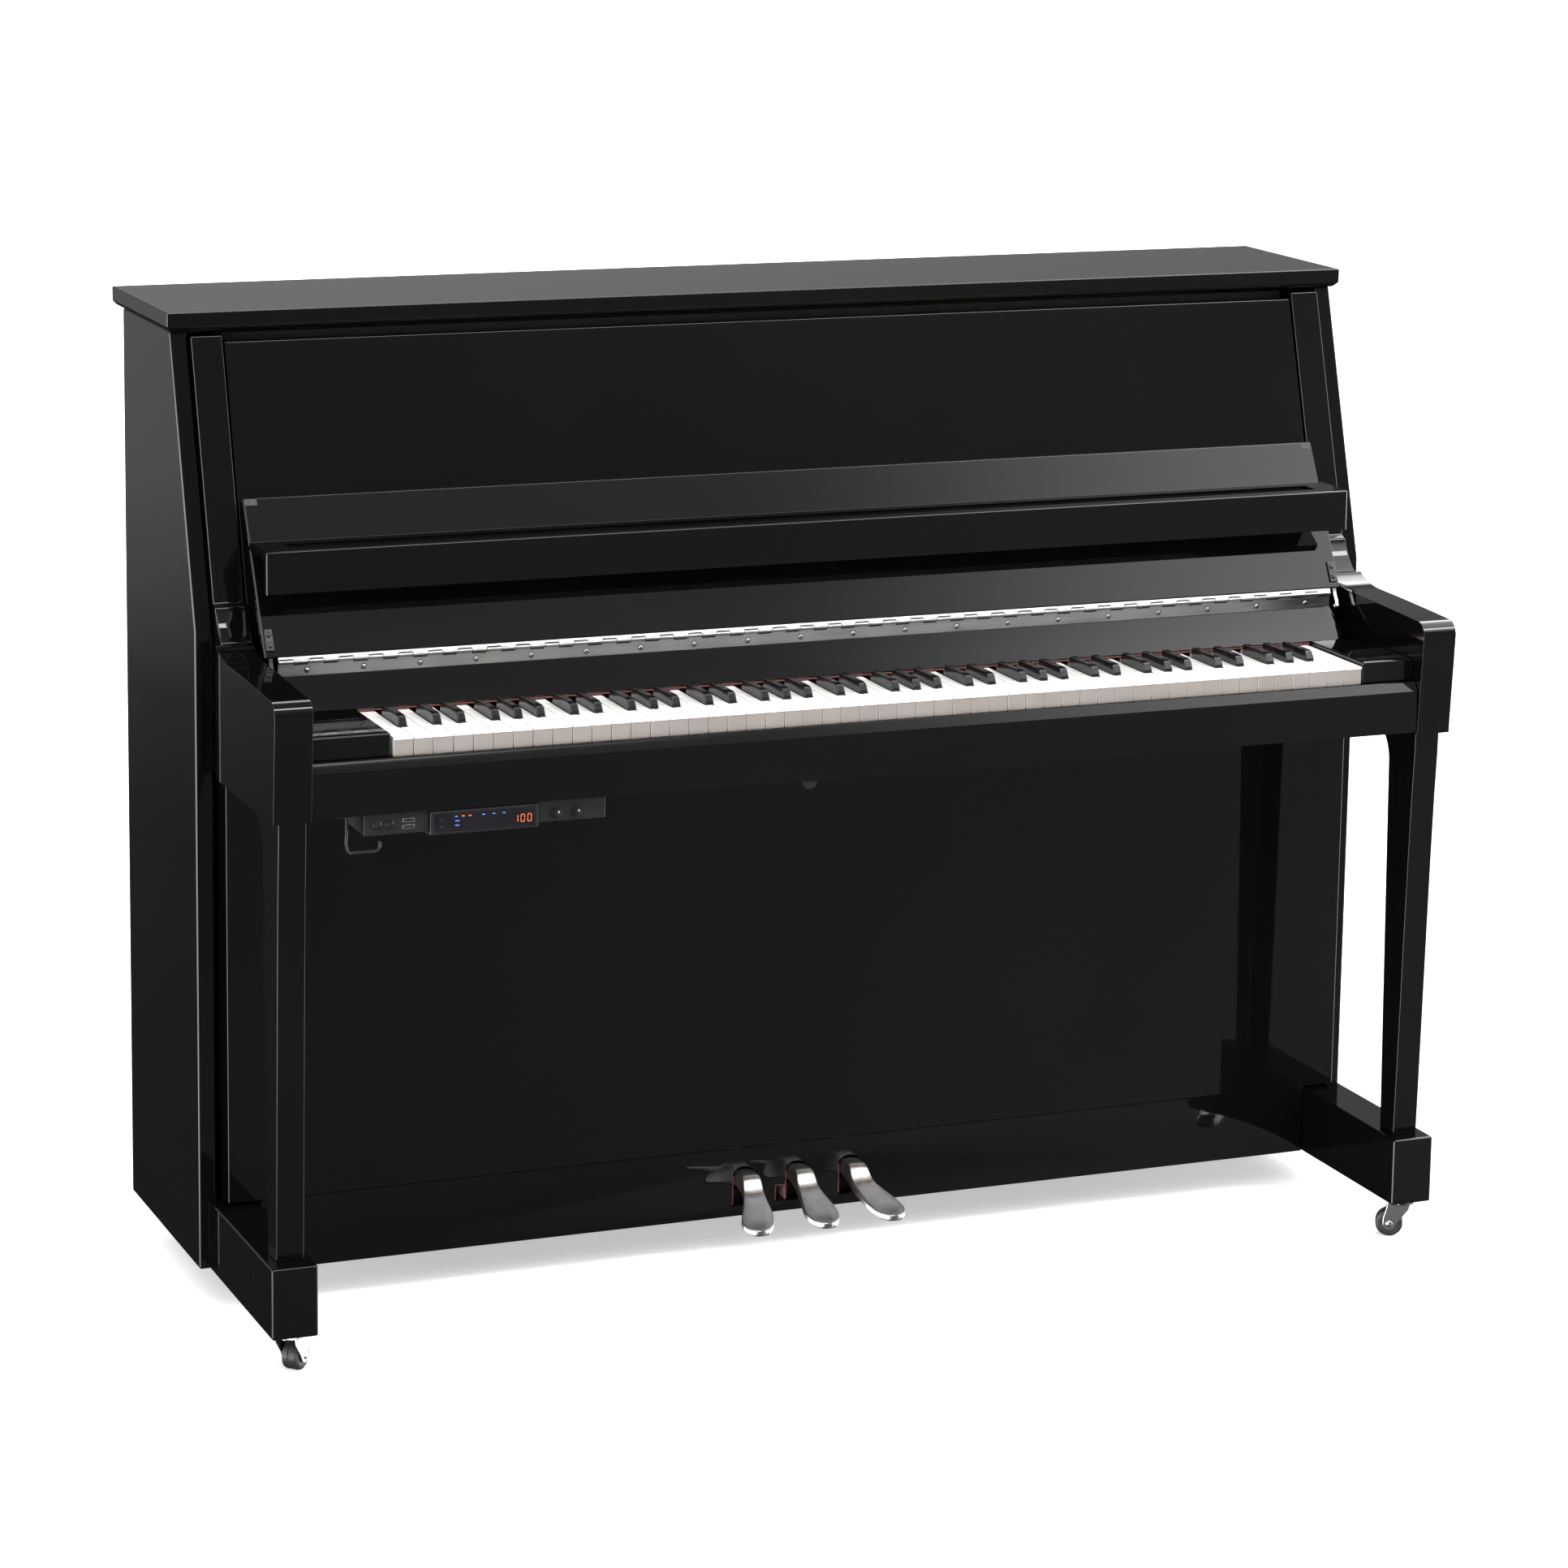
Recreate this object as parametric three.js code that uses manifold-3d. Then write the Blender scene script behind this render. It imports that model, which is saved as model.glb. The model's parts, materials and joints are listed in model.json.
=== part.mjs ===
// An upright piano with a polished case, a folding fallboard, three pedals and corner casters.
// Units are millimetres, +Z is up, +X is the player's right and the front faces -Y.
// Inside the model y = 0 is the back edge of the sides and z = 0 is the floor. The outer group
// then moves everything so that the origin lies under the middle of the whole piano.

import * as THREE from 'three';
import { mergeVertices } from 'three/addons/utils/BufferGeometryUtils.js';
import Module from 'manifold-3d';

const wasm = await Module();
wasm.setup();

// ---------- driving dimensions ----------

const GAP = 0.3; // between pieces that rest on each other

const CASE_BOTTOM = 48; // height of the case above the floor, which is the height of the casters
const SIDE_OUTER = 754; // half the width across the two sides
const SIDE_THICKNESS = 20;
const SIDE_INNER = SIDE_OUTER - SIDE_THICKNESS;
const SIDE_TOP = 1143.7;
const SIDE_FRONT = -314; // front edge of the sides below the sloping part
const SIDE_TOP_FRONT = -214; // the same edge at the top
const FRONT_SLOPE = 0.3; // how far the upper front comes forward per millimetre going down

const LID_HALF = 760.5;
const LID_FRONT = -229;
const LID_BACK = 26;
const LID_TOP = 1167;
const LID_THICKNESS = 23;
const LID_CHAMFER = 6;

const PILASTER_INNER = 694.5;
const PILASTER_OUTER = 732;
const PILASTER_TOP = 1139;
const PILASTER_TOP_FRONT = -225;
const PILASTER_DEPTH = 34;
const STILE_FRONT = -349.7; // lower part of the pilaster, behind the arm

const PANEL_HALF = 692;
const PANEL_TOP = 1131;
const PANEL_BOTTOM = 800;
const PANEL_THICKNESS = 18;
const PANEL_RECESS = 2; // how far the upper panel sits behind the pilasters

const ARM_INNER = 695;
const ARM_OUTER = 739;
const ARM_BOTTOM = 644;
const ARM_FRONT = -590;
const ARM_FRONT_BOTTOM = -582;
const ARM_TOP_FRONT = 783;
const ARM_NOSE_RADIUS = 18;
const COVE_TOP = [-320, 842]; // the cove that joins the pilaster to the top of the arm
const COVE_BEND = [-336, 790];
const COVE_END = [-400, 788];

const LEG_INNER = 698.5;
const LEG_OUTER = 730.5;
const LEG_TOP_FRONT = -573;
const LEG_BOTTOM_FRONT = -556;
const LEG_TOP_BACK = -509;
const LEG_BOTTOM_BACK = -522;
const LEG_BRACKET = 47; // size of the hollow curve behind the top of the leg

const TOE_INNER = 688;
const TOE_OUTER = 742;
const TOE_TOP = 131.5;
const TOE_FRONT = -578;

const LOWER_PANEL_HALF = 727;
const LOWER_PANEL_FRONT = -345;
const LOWER_PANEL_BOTTOM = 138;
const LOWER_PANEL_TOP = 640;
const BATTEN_WIDTH = 28;
const BATTEN_BACK = -290;

const TOE_RAIL_FRONT = -343;
const TOE_RAIL_BACK = -318;
const TOE_RAIL_TOP = 135;

const BED_HALF = 694;
const BED_BOTTOM = 647;
const BED_TOP = 685;
const BED_FRONT = -569.5;
const BED_BACK = -120;

const SLIP_FRONT = -581;
const SLIP_BACK = -570;
const SLIP_TOP = 709;

const KEYS_LEFT = -596; // left edge of the lowest key
const KEYBOARD_WIDTH = 1220;
const WHITE_COUNT = 52;
const KEY_COUNT = 88;
const FIRST_NOTE = 9; // the lowest key is an A, counted from C
const WHITE_PITCH = KEYBOARD_WIDTH / WHITE_COUNT;
const KEY_GAP = 1;
const WHITE_TOP = 730;
const WHITE_FRONT = -568;
const WHITE_HEAD_LENGTH = 49;
const WHITE_BACK = -425; // the tails end under the nameboard
const HEAD_BOTTOM = 708;
const BLACK_WIDTH = 10.5;
const BLACK_TOP = 742;
const BLACK_FRONT = -516;
const BLACK_BACK = -452;
const BLACK_SLOPE = 6;
const STICK_BOTTOM = 698;
const STICK_TOP = 716;
const STICK_WIDTH = 9;
const STICK_FRONT = -562;
const STICK_BACK = -180;
const KEY_PIVOT = [-343, 698];
const SOLO_FIRST = 39; // middle C, counted from the lowest key as 0
const SOLO_LAST = 48; // the A above it
const WHITE_TIE_Y = -343; // a tie bar joins the keys of one group over their sticks
const BLACK_TIE_Y = -318;
const TIE_BOTTOM = 719;
const TIE_TOP = 725;
const TIE_WIDTH = 8;

const BLOCK_TOP = 735;
const BLOCK_FRONT = -565;
const BLOCK_BACK = -433;

const NAMEBOARD_HALF = 676;
const NAMEBOARD_FOOT = [-431, 735.5]; // its lower front edge, just over the key tails
const HINGE_AXIS = [-387, 784]; // y and z of the fallboard's hinge pin
const FALLBOARD_HALF = 691;
const FALLBOARD_LENGTH = 198;
const FALLBOARD_THICKNESS = 12;
const FALLBOARD_LEAN = THREE.MathUtils.degToRad(27.5);

const LEDGE_HALF = 691.5;
const LEDGE_PIVOT = [-5.3, 137.5]; // in the fallboard's own frame
const LEDGE_DEPTH = 66;
const LEDGE_THICKNESS = 10;
const LEDGE_LIP = 49; // height of the lip at its front
const LEDGE_CHANNEL = [-46, -18]; // music channel along the top, front and back
const CHANNEL_DEPTH = 3;
const LEDGE_END = 34; // length of the raised blocks at both ends

const PEDAL_X = [-81, -11.5, 58.5];
const PEDAL_SPLAY = [-20, -3, 14]; // how far each pad is set sideways from its lever
const PEDAL_PIVOT = [-160, 92];
const PEDAL_END = -460;
const PEDAL_PAD_HALF = 20;
const PEDAL_NECK_HALF = 11;
const SLOT_HALF = 14;
const SLOT_BOTTOM = 60;
const SLOT_TOP = 110;

const WHEEL_RADIUS = 17;
const WHEEL_WIDTH = 20;
const CASTER_TRAIL = 14;
const CASTER_SPOTS = [
  { name: 'front_left', x: -715, y: -553, turn: 45 },
  { name: 'front_right', x: 715, y: -553, turn: 151 },
  { name: 'rear_left', x: -690, y: -42, turn: -60 },
  { name: 'rear_right', x: 690, y: -42, turn: -105 },
];

const POST_CENTRES = [-660, -330, 0, 330, 660];
const POST_WIDTH = 60;
const FRAME_BACK = 22;
const FRAME_FRONT = -53;
const PLATE_STRUTS = [-430, -150, 150, 430];

// ---------- materials ----------

function finish(color, roughness, metalness = 0) {
  return { color, roughness, metalness };
}

const EBONY = finish(0x0a0a0b, 0.08);
const IVORY = finish(0xf1efe9, 0.22);
const BLACK_KEY = finish(0x121212, 0.18);
const CHROME = finish(0xd6d7d9, 0.12, 1);
const RUBBER = finish(0x232323, 0.6);
const SPRUCE = finish(0xc9a36b, 0.55);
const FRAME_WOOD = finish(0x8a6a43, 0.6);
const GOLD_IRON = finish(0xa98235, 0.35, 0.7);
const STEEL = finish(0xa8a8aa, 0.3, 0.9);
const FELT = finish(0xe6e2d6, 0.95);
const PLASTIC = finish(0x1b1b1d, 0.45);

// ---------- solids ----------

// An outline drawn in the y-z plane, extruded along X.
function extrudeAlongX(outline, x0, x1) {
  const shape = new THREE.Shape(outline.map(([y, z]) => new THREE.Vector2(y, z)));
  const geometry = new THREE.ExtrudeGeometry(shape, { depth: x1 - x0, bevelEnabled: false });
  const turn = new THREE.Matrix4().makeBasis(
    new THREE.Vector3(0, 1, 0),
    new THREE.Vector3(0, 0, 1),
    new THREE.Vector3(1, 0, 0),
  );
  geometry.applyMatrix4(turn);
  geometry.translate(x0, 0, 0);
  return geometry;
}

// An outline drawn in the x-y plane, extruded upwards.
function extrudeUp(outline, z0, z1) {
  const shape = new THREE.Shape(outline.map(([x, y]) => new THREE.Vector2(x, y)));
  const geometry = new THREE.ExtrudeGeometry(shape, { depth: z1 - z0, bevelEnabled: false });
  geometry.translate(0, 0, z0);
  return geometry;
}

function block([x0, x1], [y0, y1], [z0, z1]) {
  const geometry = new THREE.BoxGeometry(x1 - x0, y1 - y0, z1 - z0);
  geometry.translate((x0 + x1) / 2, (y0 + y1) / 2, (z0 + z1) / 2);
  return geometry;
}

// A cylinder whose axis is X, Y or Z.
function rod(radius, length, axis, sides = 16) {
  const geometry = new THREE.CylinderGeometry(radius, radius, length, sides);
  if (axis === 'x') geometry.rotateZ(Math.PI / 2);
  if (axis === 'z') geometry.rotateX(Math.PI / 2);
  return geometry;
}

function toSolid(source) {
  const geometry = source.clone();
  geometry.deleteAttribute('normal');
  geometry.deleteAttribute('uv');
  const merged = mergeVertices(geometry, 1e-4);
  const mesh = new wasm.Mesh({
    numProp: 3,
    vertProperties: new Float32Array(merged.attributes.position.array),
    triVerts: new Uint32Array(merged.index.array),
  });
  return new wasm.Manifold(mesh);
}

function toGeometry(solid) {
  const mesh = solid.getMesh();
  const geometry = new THREE.BufferGeometry();
  geometry.setAttribute('position', new THREE.BufferAttribute(new Float32Array(mesh.vertProperties), 3));
  geometry.setIndex(new THREE.BufferAttribute(new Uint32Array(mesh.triVerts), 1));
  geometry.computeVertexNormals();
  return geometry;
}

function join(...geometries) {
  return toGeometry(geometries.map(toSolid).reduce((whole, next) => whole.add(next)));
}

function cut(geometry, ...tools) {
  return toGeometry(tools.map(toSolid).reduce((rest, tool) => rest.subtract(tool), toSolid(geometry)));
}

function common(first, second) {
  return toGeometry(toSolid(first).intersect(toSolid(second)));
}

function quadraticPoints(start, bend, end, steps) {
  const points = [];
  for (let i = 0; i <= steps; i += 1) {
    const t = i / steps;
    const a = (1 - t) * (1 - t);
    const b = 2 * t * (1 - t);
    const c = t * t;
    points.push([a * start[0] + b * bend[0] + c * end[0], a * start[1] + b * bend[1] + c * end[1]]);
  }
  return points;
}

function arcPoints(centre, radius, from, to, steps) {
  const points = [];
  for (let i = 0; i <= steps; i += 1) {
    const angle = THREE.MathUtils.degToRad(from + ((to - from) * i) / steps);
    points.push([centre[0] + radius * Math.cos(angle), centre[1] + radius * Math.sin(angle)]);
  }
  return points;
}

// ---------- the scene graph ----------

const piano = new THREE.Group();
const body = new THREE.Group();
body.position.y = -(ARM_FRONT + LID_BACK) / 2;
piano.add(body);

function part(name, geometry, look, parent = body) {
  const mesh = new THREE.Mesh(geometry, new THREE.MeshStandardMaterial(look));
  mesh.name = name;
  parent.add(mesh);
  return mesh;
}

// Makes a left piece and its mirror image on the right from one outline across the depth.
function pairAlongX(name, outline, inner, outer, look) {
  part(`${name}_left`, extrudeAlongX(outline, -outer, -inner), look);
  part(`${name}_right`, extrudeAlongX(outline, inner, outer), look);
}

// ---------- case ----------

function buildSides() {
  const kink = SIDE_TOP - (SIDE_TOP_FRONT - SIDE_FRONT) / FRONT_SLOPE;
  const outline = [
    [0, CASE_BOTTOM],
    [0, SIDE_TOP],
    [SIDE_TOP_FRONT, SIDE_TOP],
    [SIDE_FRONT, kink],
    [SIDE_FRONT, CASE_BOTTOM],
  ];
  pairAlongX('side', outline, SIDE_INNER, SIDE_OUTER, EBONY);
}

function slopedFront(z) {
  return PILASTER_TOP_FRONT - FRONT_SLOPE * (PILASTER_TOP - z);
}

function buildPilasters() {
  const cove = quadraticPoints(COVE_TOP, COVE_BEND, COVE_END, 12).filter(([y]) => y > STILE_FRONT);
  const coveFoot = quadraticPoints(COVE_TOP, COVE_BEND, COVE_END, 12).find(([y]) => y <= STILE_FRONT);
  const outline = [
    [PILASTER_TOP_FRONT + PILASTER_DEPTH, PILASTER_TOP],
    [PILASTER_TOP_FRONT, PILASTER_TOP],
    [slopedFront(COVE_TOP[1]), COVE_TOP[1]],
    ...cove,
    [STILE_FRONT, coveFoot[1] + 1],
    [STILE_FRONT, ARM_BOTTOM],
    [STILE_FRONT + PILASTER_DEPTH, ARM_BOTTOM],
    [STILE_FRONT + PILASTER_DEPTH, COVE_TOP[1] - 60],
    [slopedFront(COVE_TOP[1]) + PILASTER_DEPTH, COVE_TOP[1]],
  ];
  pairAlongX('pilaster', outline, PILASTER_INNER, PILASTER_OUTER, EBONY);
}

function buildUpperPanel() {
  const front = (z) => slopedFront(z) + PANEL_RECESS;
  const outline = [
    [front(PANEL_TOP), PANEL_TOP],
    [front(PANEL_BOTTOM), PANEL_BOTTOM],
    [front(PANEL_BOTTOM) + PANEL_THICKNESS, PANEL_BOTTOM],
    [front(PANEL_TOP) + PANEL_THICKNESS, PANEL_TOP],
  ];
  part('upper_panel', extrudeAlongX(outline, -PANEL_HALF, PANEL_HALF), EBONY);
}

function buildArms() {
  const top = quadraticPoints(COVE_TOP, COVE_BEND, COVE_END, 12).filter(([y]) => y < STILE_FRONT - GAP);
  const nose = [ARM_FRONT + ARM_NOSE_RADIUS, ARM_TOP_FRONT - ARM_NOSE_RADIUS];
  const outline = [
    [STILE_FRONT - GAP, ARM_BOTTOM],
    [STILE_FRONT - GAP, top[0][1] + 2],
    ...top,
    ...arcPoints(nose, ARM_NOSE_RADIUS, 90, 180, 6),
    [ARM_FRONT_BOTTOM, ARM_BOTTOM],
  ];
  pairAlongX('arm', outline, ARM_INNER, ARM_OUTER, EBONY);
}

function buildLegs() {
  const bracketEnd = LEG_TOP_BACK + LEG_BRACKET;
  const top = ARM_BOTTOM - GAP;
  const bracketCentre = [bracketEnd, top - LEG_BRACKET - 2];
  const outline = [
    [LEG_BOTTOM_FRONT, TOE_TOP + GAP],
    [LEG_TOP_FRONT, top],
    [bracketEnd, top],
    ...arcPoints(bracketCentre, LEG_BRACKET, 90, 180, 6),
    [LEG_BOTTOM_BACK, TOE_TOP + GAP],
  ];
  pairAlongX('leg', outline, LEG_INNER, LEG_OUTER, EBONY);
}

function buildToeBlocks() {
  const depth = [TOE_FRONT, SIDE_FRONT - GAP];
  const height = [CASE_BOTTOM, TOE_TOP];
  part('toe_block_left', block([-TOE_OUTER, -TOE_INNER], depth, height), EBONY);
  part('toe_block_right', block([TOE_INNER, TOE_OUTER], depth, height), EBONY);
}

function buildLowerPanel() {
  const back = LOWER_PANEL_FRONT + 20;
  const inner = LOWER_PANEL_HALF - BATTEN_WIDTH;
  const outline = [
    [-LOWER_PANEL_HALF, LOWER_PANEL_FRONT],
    [LOWER_PANEL_HALF, LOWER_PANEL_FRONT],
    [LOWER_PANEL_HALF, BATTEN_BACK],
    [inner, BATTEN_BACK],
    [inner, back],
    [-inner, back],
    [-inner, BATTEN_BACK],
    [-LOWER_PANEL_HALF, BATTEN_BACK],
  ];
  part('lower_panel', extrudeUp(outline, LOWER_PANEL_BOTTOM, LOWER_PANEL_TOP), EBONY);
}

function buildToeRail() {
  const depth = [TOE_RAIL_FRONT, TOE_RAIL_BACK];
  const rail = block([-TOE_INNER + 1, TOE_INNER - 1], depth, [CASE_BOTTOM, TOE_RAIL_TOP]);
  const through = [TOE_RAIL_FRONT - 10, TOE_RAIL_BACK + 10];
  const slots = PEDAL_X.map((x) => block([x - SLOT_HALF, x + SLOT_HALF], through, [SLOT_BOTTOM, SLOT_TOP]));
  const lockNotch = block([PEDAL_X[1] - SLOT_HALF - 14, PEDAL_X[1]], through, [SLOT_BOTTOM, SLOT_BOTTOM + 22]);
  part('toe_rail', cut(rail, ...slots, lockNotch), EBONY);
}

function buildBottomBoard() {
  const width = [GAP - SIDE_INNER, SIDE_INNER - GAP];
  part('bottom_board', block(width, [SIDE_FRONT + 2, -1], [CASE_BOTTOM, CASE_BOTTOM + 24]), FRAME_WOOD);
}

function buildLid() {
  const slab = block([-LID_HALF, LID_HALF], [LID_FRONT, LID_BACK], [LID_TOP - LID_THICKNESS, LID_TOP]);
  const low = LID_TOP - LID_THICKNESS;
  // A wedge under each of the front, left and right edges makes the chamfer.
  const edge = (length) => extrudeAlongX([[-9, -9], [LID_CHAMFER, -9], [LID_CHAMFER, 0], [0, LID_CHAMFER],
    [-9, LID_CHAMFER]], -length / 2, length / 2);
  const frontWedge = edge(2 * LID_HALF + 40);
  frontWedge.translate(0, LID_FRONT, low);
  const leftWedge = edge(600);
  leftWedge.rotateZ(-Math.PI / 2);
  leftWedge.translate(-LID_HALF, -100, low);
  const rightWedge = edge(600);
  rightWedge.rotateZ(Math.PI / 2);
  rightWedge.translate(LID_HALF, -100, low);
  part('top_lid', cut(slab, frontWedge, leftWedge, rightWedge), EBONY);
}

// ---------- keyboard ----------

function buildKeyBed() {
  const bed = block([-BED_HALF, BED_HALF], [BED_FRONT, BED_BACK], [BED_BOTTOM, BED_TOP]);
  const [pivotY, pivotZ] = KEY_PIVOT;
  const balance = block([-650, 650], [pivotY - 8, pivotY + 8], [BED_TOP - 1, pivotZ - 1]);
  const backRail = block([-650, 650], [-205, -185], [BED_TOP - 1, pivotZ - 1]);
  part('key_bed', join(bed, balance, backRail), FRAME_WOOD);
}

function buildKeySlip() {
  const outline = [
    [SLIP_BACK, BED_BOTTOM],
    [SLIP_BACK, SLIP_TOP],
    [SLIP_BACK - 2, SLIP_TOP],
    [SLIP_FRONT, SLIP_TOP - 11],
    [SLIP_FRONT, BED_BOTTOM],
  ];
  part('key_slip', extrudeAlongX(outline, -BED_HALF, BED_HALF), EBONY);
}

function buildKeyBlocks() {
  const depth = [BLOCK_FRONT, BLOCK_BACK];
  const height = [BED_TOP + GAP, BLOCK_TOP];
  const keysRight = KEYS_LEFT + KEYBOARD_WIDTH;
  part('key_block_left', block([-BED_HALF, KEYS_LEFT - 2.5], depth, height), EBONY);
  part('key_block_right', block([keysRight + 2.5, BED_HALF], depth, height), EBONY);
}

// Where the middle of each black key lies, from the line between its two white neighbours.
const BLACK_SHIFT = { 1: -2.6, 3: 2.6, 6: -3.6, 8: 0, 10: 3.6 };
const NOTE_NAMES = ['c', 'c_sharp', 'd', 'd_sharp', 'e', 'f', 'f_sharp', 'g', 'g_sharp', 'a', 'a_sharp', 'b'];

function keyTable() {
  const keys = [];
  let whites = 0;
  for (let i = 0; i < KEY_COUNT; i += 1) {
    const note = (FIRST_NOTE + i) % 12;
    const octave = Math.floor((FIRST_NOTE + i) / 12);
    const black = note in BLACK_SHIFT;
    const name = `key_${NOTE_NAMES[note]}${octave}`;
    const line = KEYS_LEFT + whites * WHITE_PITCH;
    if (black) {
      keys.push({ name, black, centre: line + BLACK_SHIFT[note] });
    } else {
      keys.push({ name, black, left: line + KEY_GAP / 2, right: line + WHITE_PITCH - KEY_GAP / 2 });
      whites += 1;
    }
  }
  return keys;
}

function stick(x, back) {
  const width = [x - STICK_WIDTH / 2, x + STICK_WIDTH / 2];
  return block(width, [back ? BLACK_FRONT + 4 : STICK_FRONT, STICK_BACK], [STICK_BOTTOM, STICK_TOP]);
}

function whiteKey(keys, i) {
  const { left, right } = keys[i];
  const reach = BLACK_WIDTH / 2 + KEY_GAP;
  const below = keys[i - 1];
  const above = keys[i + 1];
  const tailLeft = below && below.black ? Math.max(left, below.centre + reach) : left;
  const tailRight = above && above.black ? Math.min(right, above.centre - reach) : right;
  const headBack = WHITE_FRONT + WHITE_HEAD_LENGTH;
  const plan = [
    [left, WHITE_FRONT],
    [right, WHITE_FRONT],
    [right, headBack],
    [tailRight, headBack],
    [tailRight, WHITE_BACK],
    [tailLeft, WHITE_BACK],
    [tailLeft, headBack],
    [left, headBack],
  ].filter(([x, y], n, all) => n === 0 || x !== all[n - 1][0] || y !== all[n - 1][1]);
  const head = extrudeUp(plan, HEAD_BOTTOM, WHITE_TOP);
  return { solids: [head, stick((tailLeft + tailRight) / 2, false)], x: (tailLeft + tailRight) / 2 };
}

function blackKey(keys, i) {
  const { centre } = keys[i];
  const outline = [
    [BLACK_FRONT, HEAD_BOTTOM],
    [BLACK_FRONT, BLACK_TOP - 12],
    [BLACK_FRONT + BLACK_SLOPE, BLACK_TOP - 1.5],
    [BLACK_FRONT + BLACK_SLOPE + 3, BLACK_TOP],
    [BLACK_BACK, BLACK_TOP],
    [BLACK_BACK, HEAD_BOTTOM],
  ];
  const head = extrudeAlongX(outline, centre - BLACK_WIDTH / 2, centre + BLACK_WIDTH / 2);
  return { solids: [head, stick(centre, true)], x: centre };
}

// Keys of one colour on one side of the middle octave, tied into one comb over their sticks.
function keyGroup(name, keys, from, to, black) {
  const solids = [];
  const places = [];
  for (let i = from; i <= to; i += 1) {
    if (keys[i].black === black) {
      const made = black ? blackKey(keys, i) : whiteKey(keys, i);
      solids.push(...made.solids);
      places.push(made.x);
    }
  }
  const tieY = black ? BLACK_TIE_Y : WHITE_TIE_Y;
  const depth = [tieY - TIE_WIDTH / 2, tieY + TIE_WIDTH / 2];
  for (const x of places) {
    solids.push(block([x - 3, x + 3], depth, [STICK_TOP - 1, TIE_BOTTOM + 1]));
  }
  const ends = [Math.min(...places) - 3, Math.max(...places) + 3];
  solids.push(block(ends, depth, [TIE_BOTTOM, TIE_TOP]));
  part(name, join(...solids), black ? BLACK_KEY : IVORY);
}

function buildKeys() {
  const keys = keyTable();
  keyGroup('white_keys_bass', keys, 0, SOLO_FIRST - 1, false);
  keyGroup('black_keys_bass', keys, 0, SOLO_FIRST - 1, true);
  for (let i = SOLO_FIRST; i <= SOLO_LAST; i += 1) {
    const made = keys[i].black ? blackKey(keys, i) : whiteKey(keys, i);
    part(keys[i].name, join(...made.solids), keys[i].black ? BLACK_KEY : IVORY);
  }
  keyGroup('white_keys_treble', keys, SOLO_LAST + 1, KEY_COUNT - 1, false);
  keyGroup('black_keys_treble', keys, SOLO_LAST + 1, KEY_COUNT - 1, true);
}

// ---------- fallboard ----------

function buildNameboard() {
  const top = HINGE_AXIS[1] - 2;
  const outline = [
    [HINGE_AXIS[0] + 3.2, top],
    [HINGE_AXIS[0] + 3.2, top - 13],
    [NAMEBOARD_FOOT[0], NAMEBOARD_FOOT[1]],
    [NAMEBOARD_FOOT[0], NAMEBOARD_FOOT[1] - 2],
    [-372, NAMEBOARD_FOOT[1] - 2],
    [-372, top],
  ];
  part('nameboard', extrudeAlongX(outline, -NAMEBOARD_HALF, NAMEBOARD_HALF), EBONY);
}

function buildFallboardHinge() {
  const [y, z] = HINGE_AXIS;
  const leaf = block([-NAMEBOARD_HALF, NAMEBOARD_HALF], [y + 1.2, y + 2.8], [z - 15, z]);
  const barrel = rod(2.2, 2 * NAMEBOARD_HALF, 'x', 10);
  barrel.translate(0, y, z);
  part('fallboard_hinge', join(leaf, barrel), CHROME);
}

function buildFallboard() {
  // The board stands in its own frame: +Z runs from the hinge to the free edge, -Y faces the player.
  const frame = new THREE.Group();
  frame.position.set(0, HINGE_AXIS[0], HINGE_AXIS[1]);
  frame.rotation.x = -FALLBOARD_LEAN;
  body.add(frame);
  const face = -0.2;
  const board = block([-FALLBOARD_HALF, FALLBOARD_HALF], [face, face + FALLBOARD_THICKNESS], [6, FALLBOARD_LENGTH]);
  part('fallboard', board, EBONY, frame);

  const ledgeFrame = new THREE.Group();
  ledgeFrame.position.set(0, LEDGE_PIVOT[0] - 0.2, LEDGE_PIVOT[1]);
  ledgeFrame.rotation.x = FALLBOARD_LEAN;
  frame.add(ledgeFrame);
  const half = LEDGE_THICKNESS / 2;
  const section = [
    [-LEDGE_DEPTH, half - LEDGE_LIP],
    [-LEDGE_DEPTH + LEDGE_THICKNESS, half - LEDGE_LIP],
    [-LEDGE_DEPTH + LEDGE_THICKNESS, -half],
    [0, -half],
    ...arcPoints([0, 0], half, -45, 45, 3),
    [0, half],
    [-LEDGE_DEPTH, half],
  ];
  const whole = extrudeAlongX(section, -LEDGE_HALF, LEDGE_HALF);
  const channelEnd = LEDGE_HALF - LEDGE_END;
  const channel = block([-channelEnd, channelEnd], LEDGE_CHANNEL, [half - CHANNEL_DEPTH, half + 5]);
  part('music_ledge', cut(whole, channel), EBONY, ledgeFrame);
}

// ---------- pedals ----------

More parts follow.
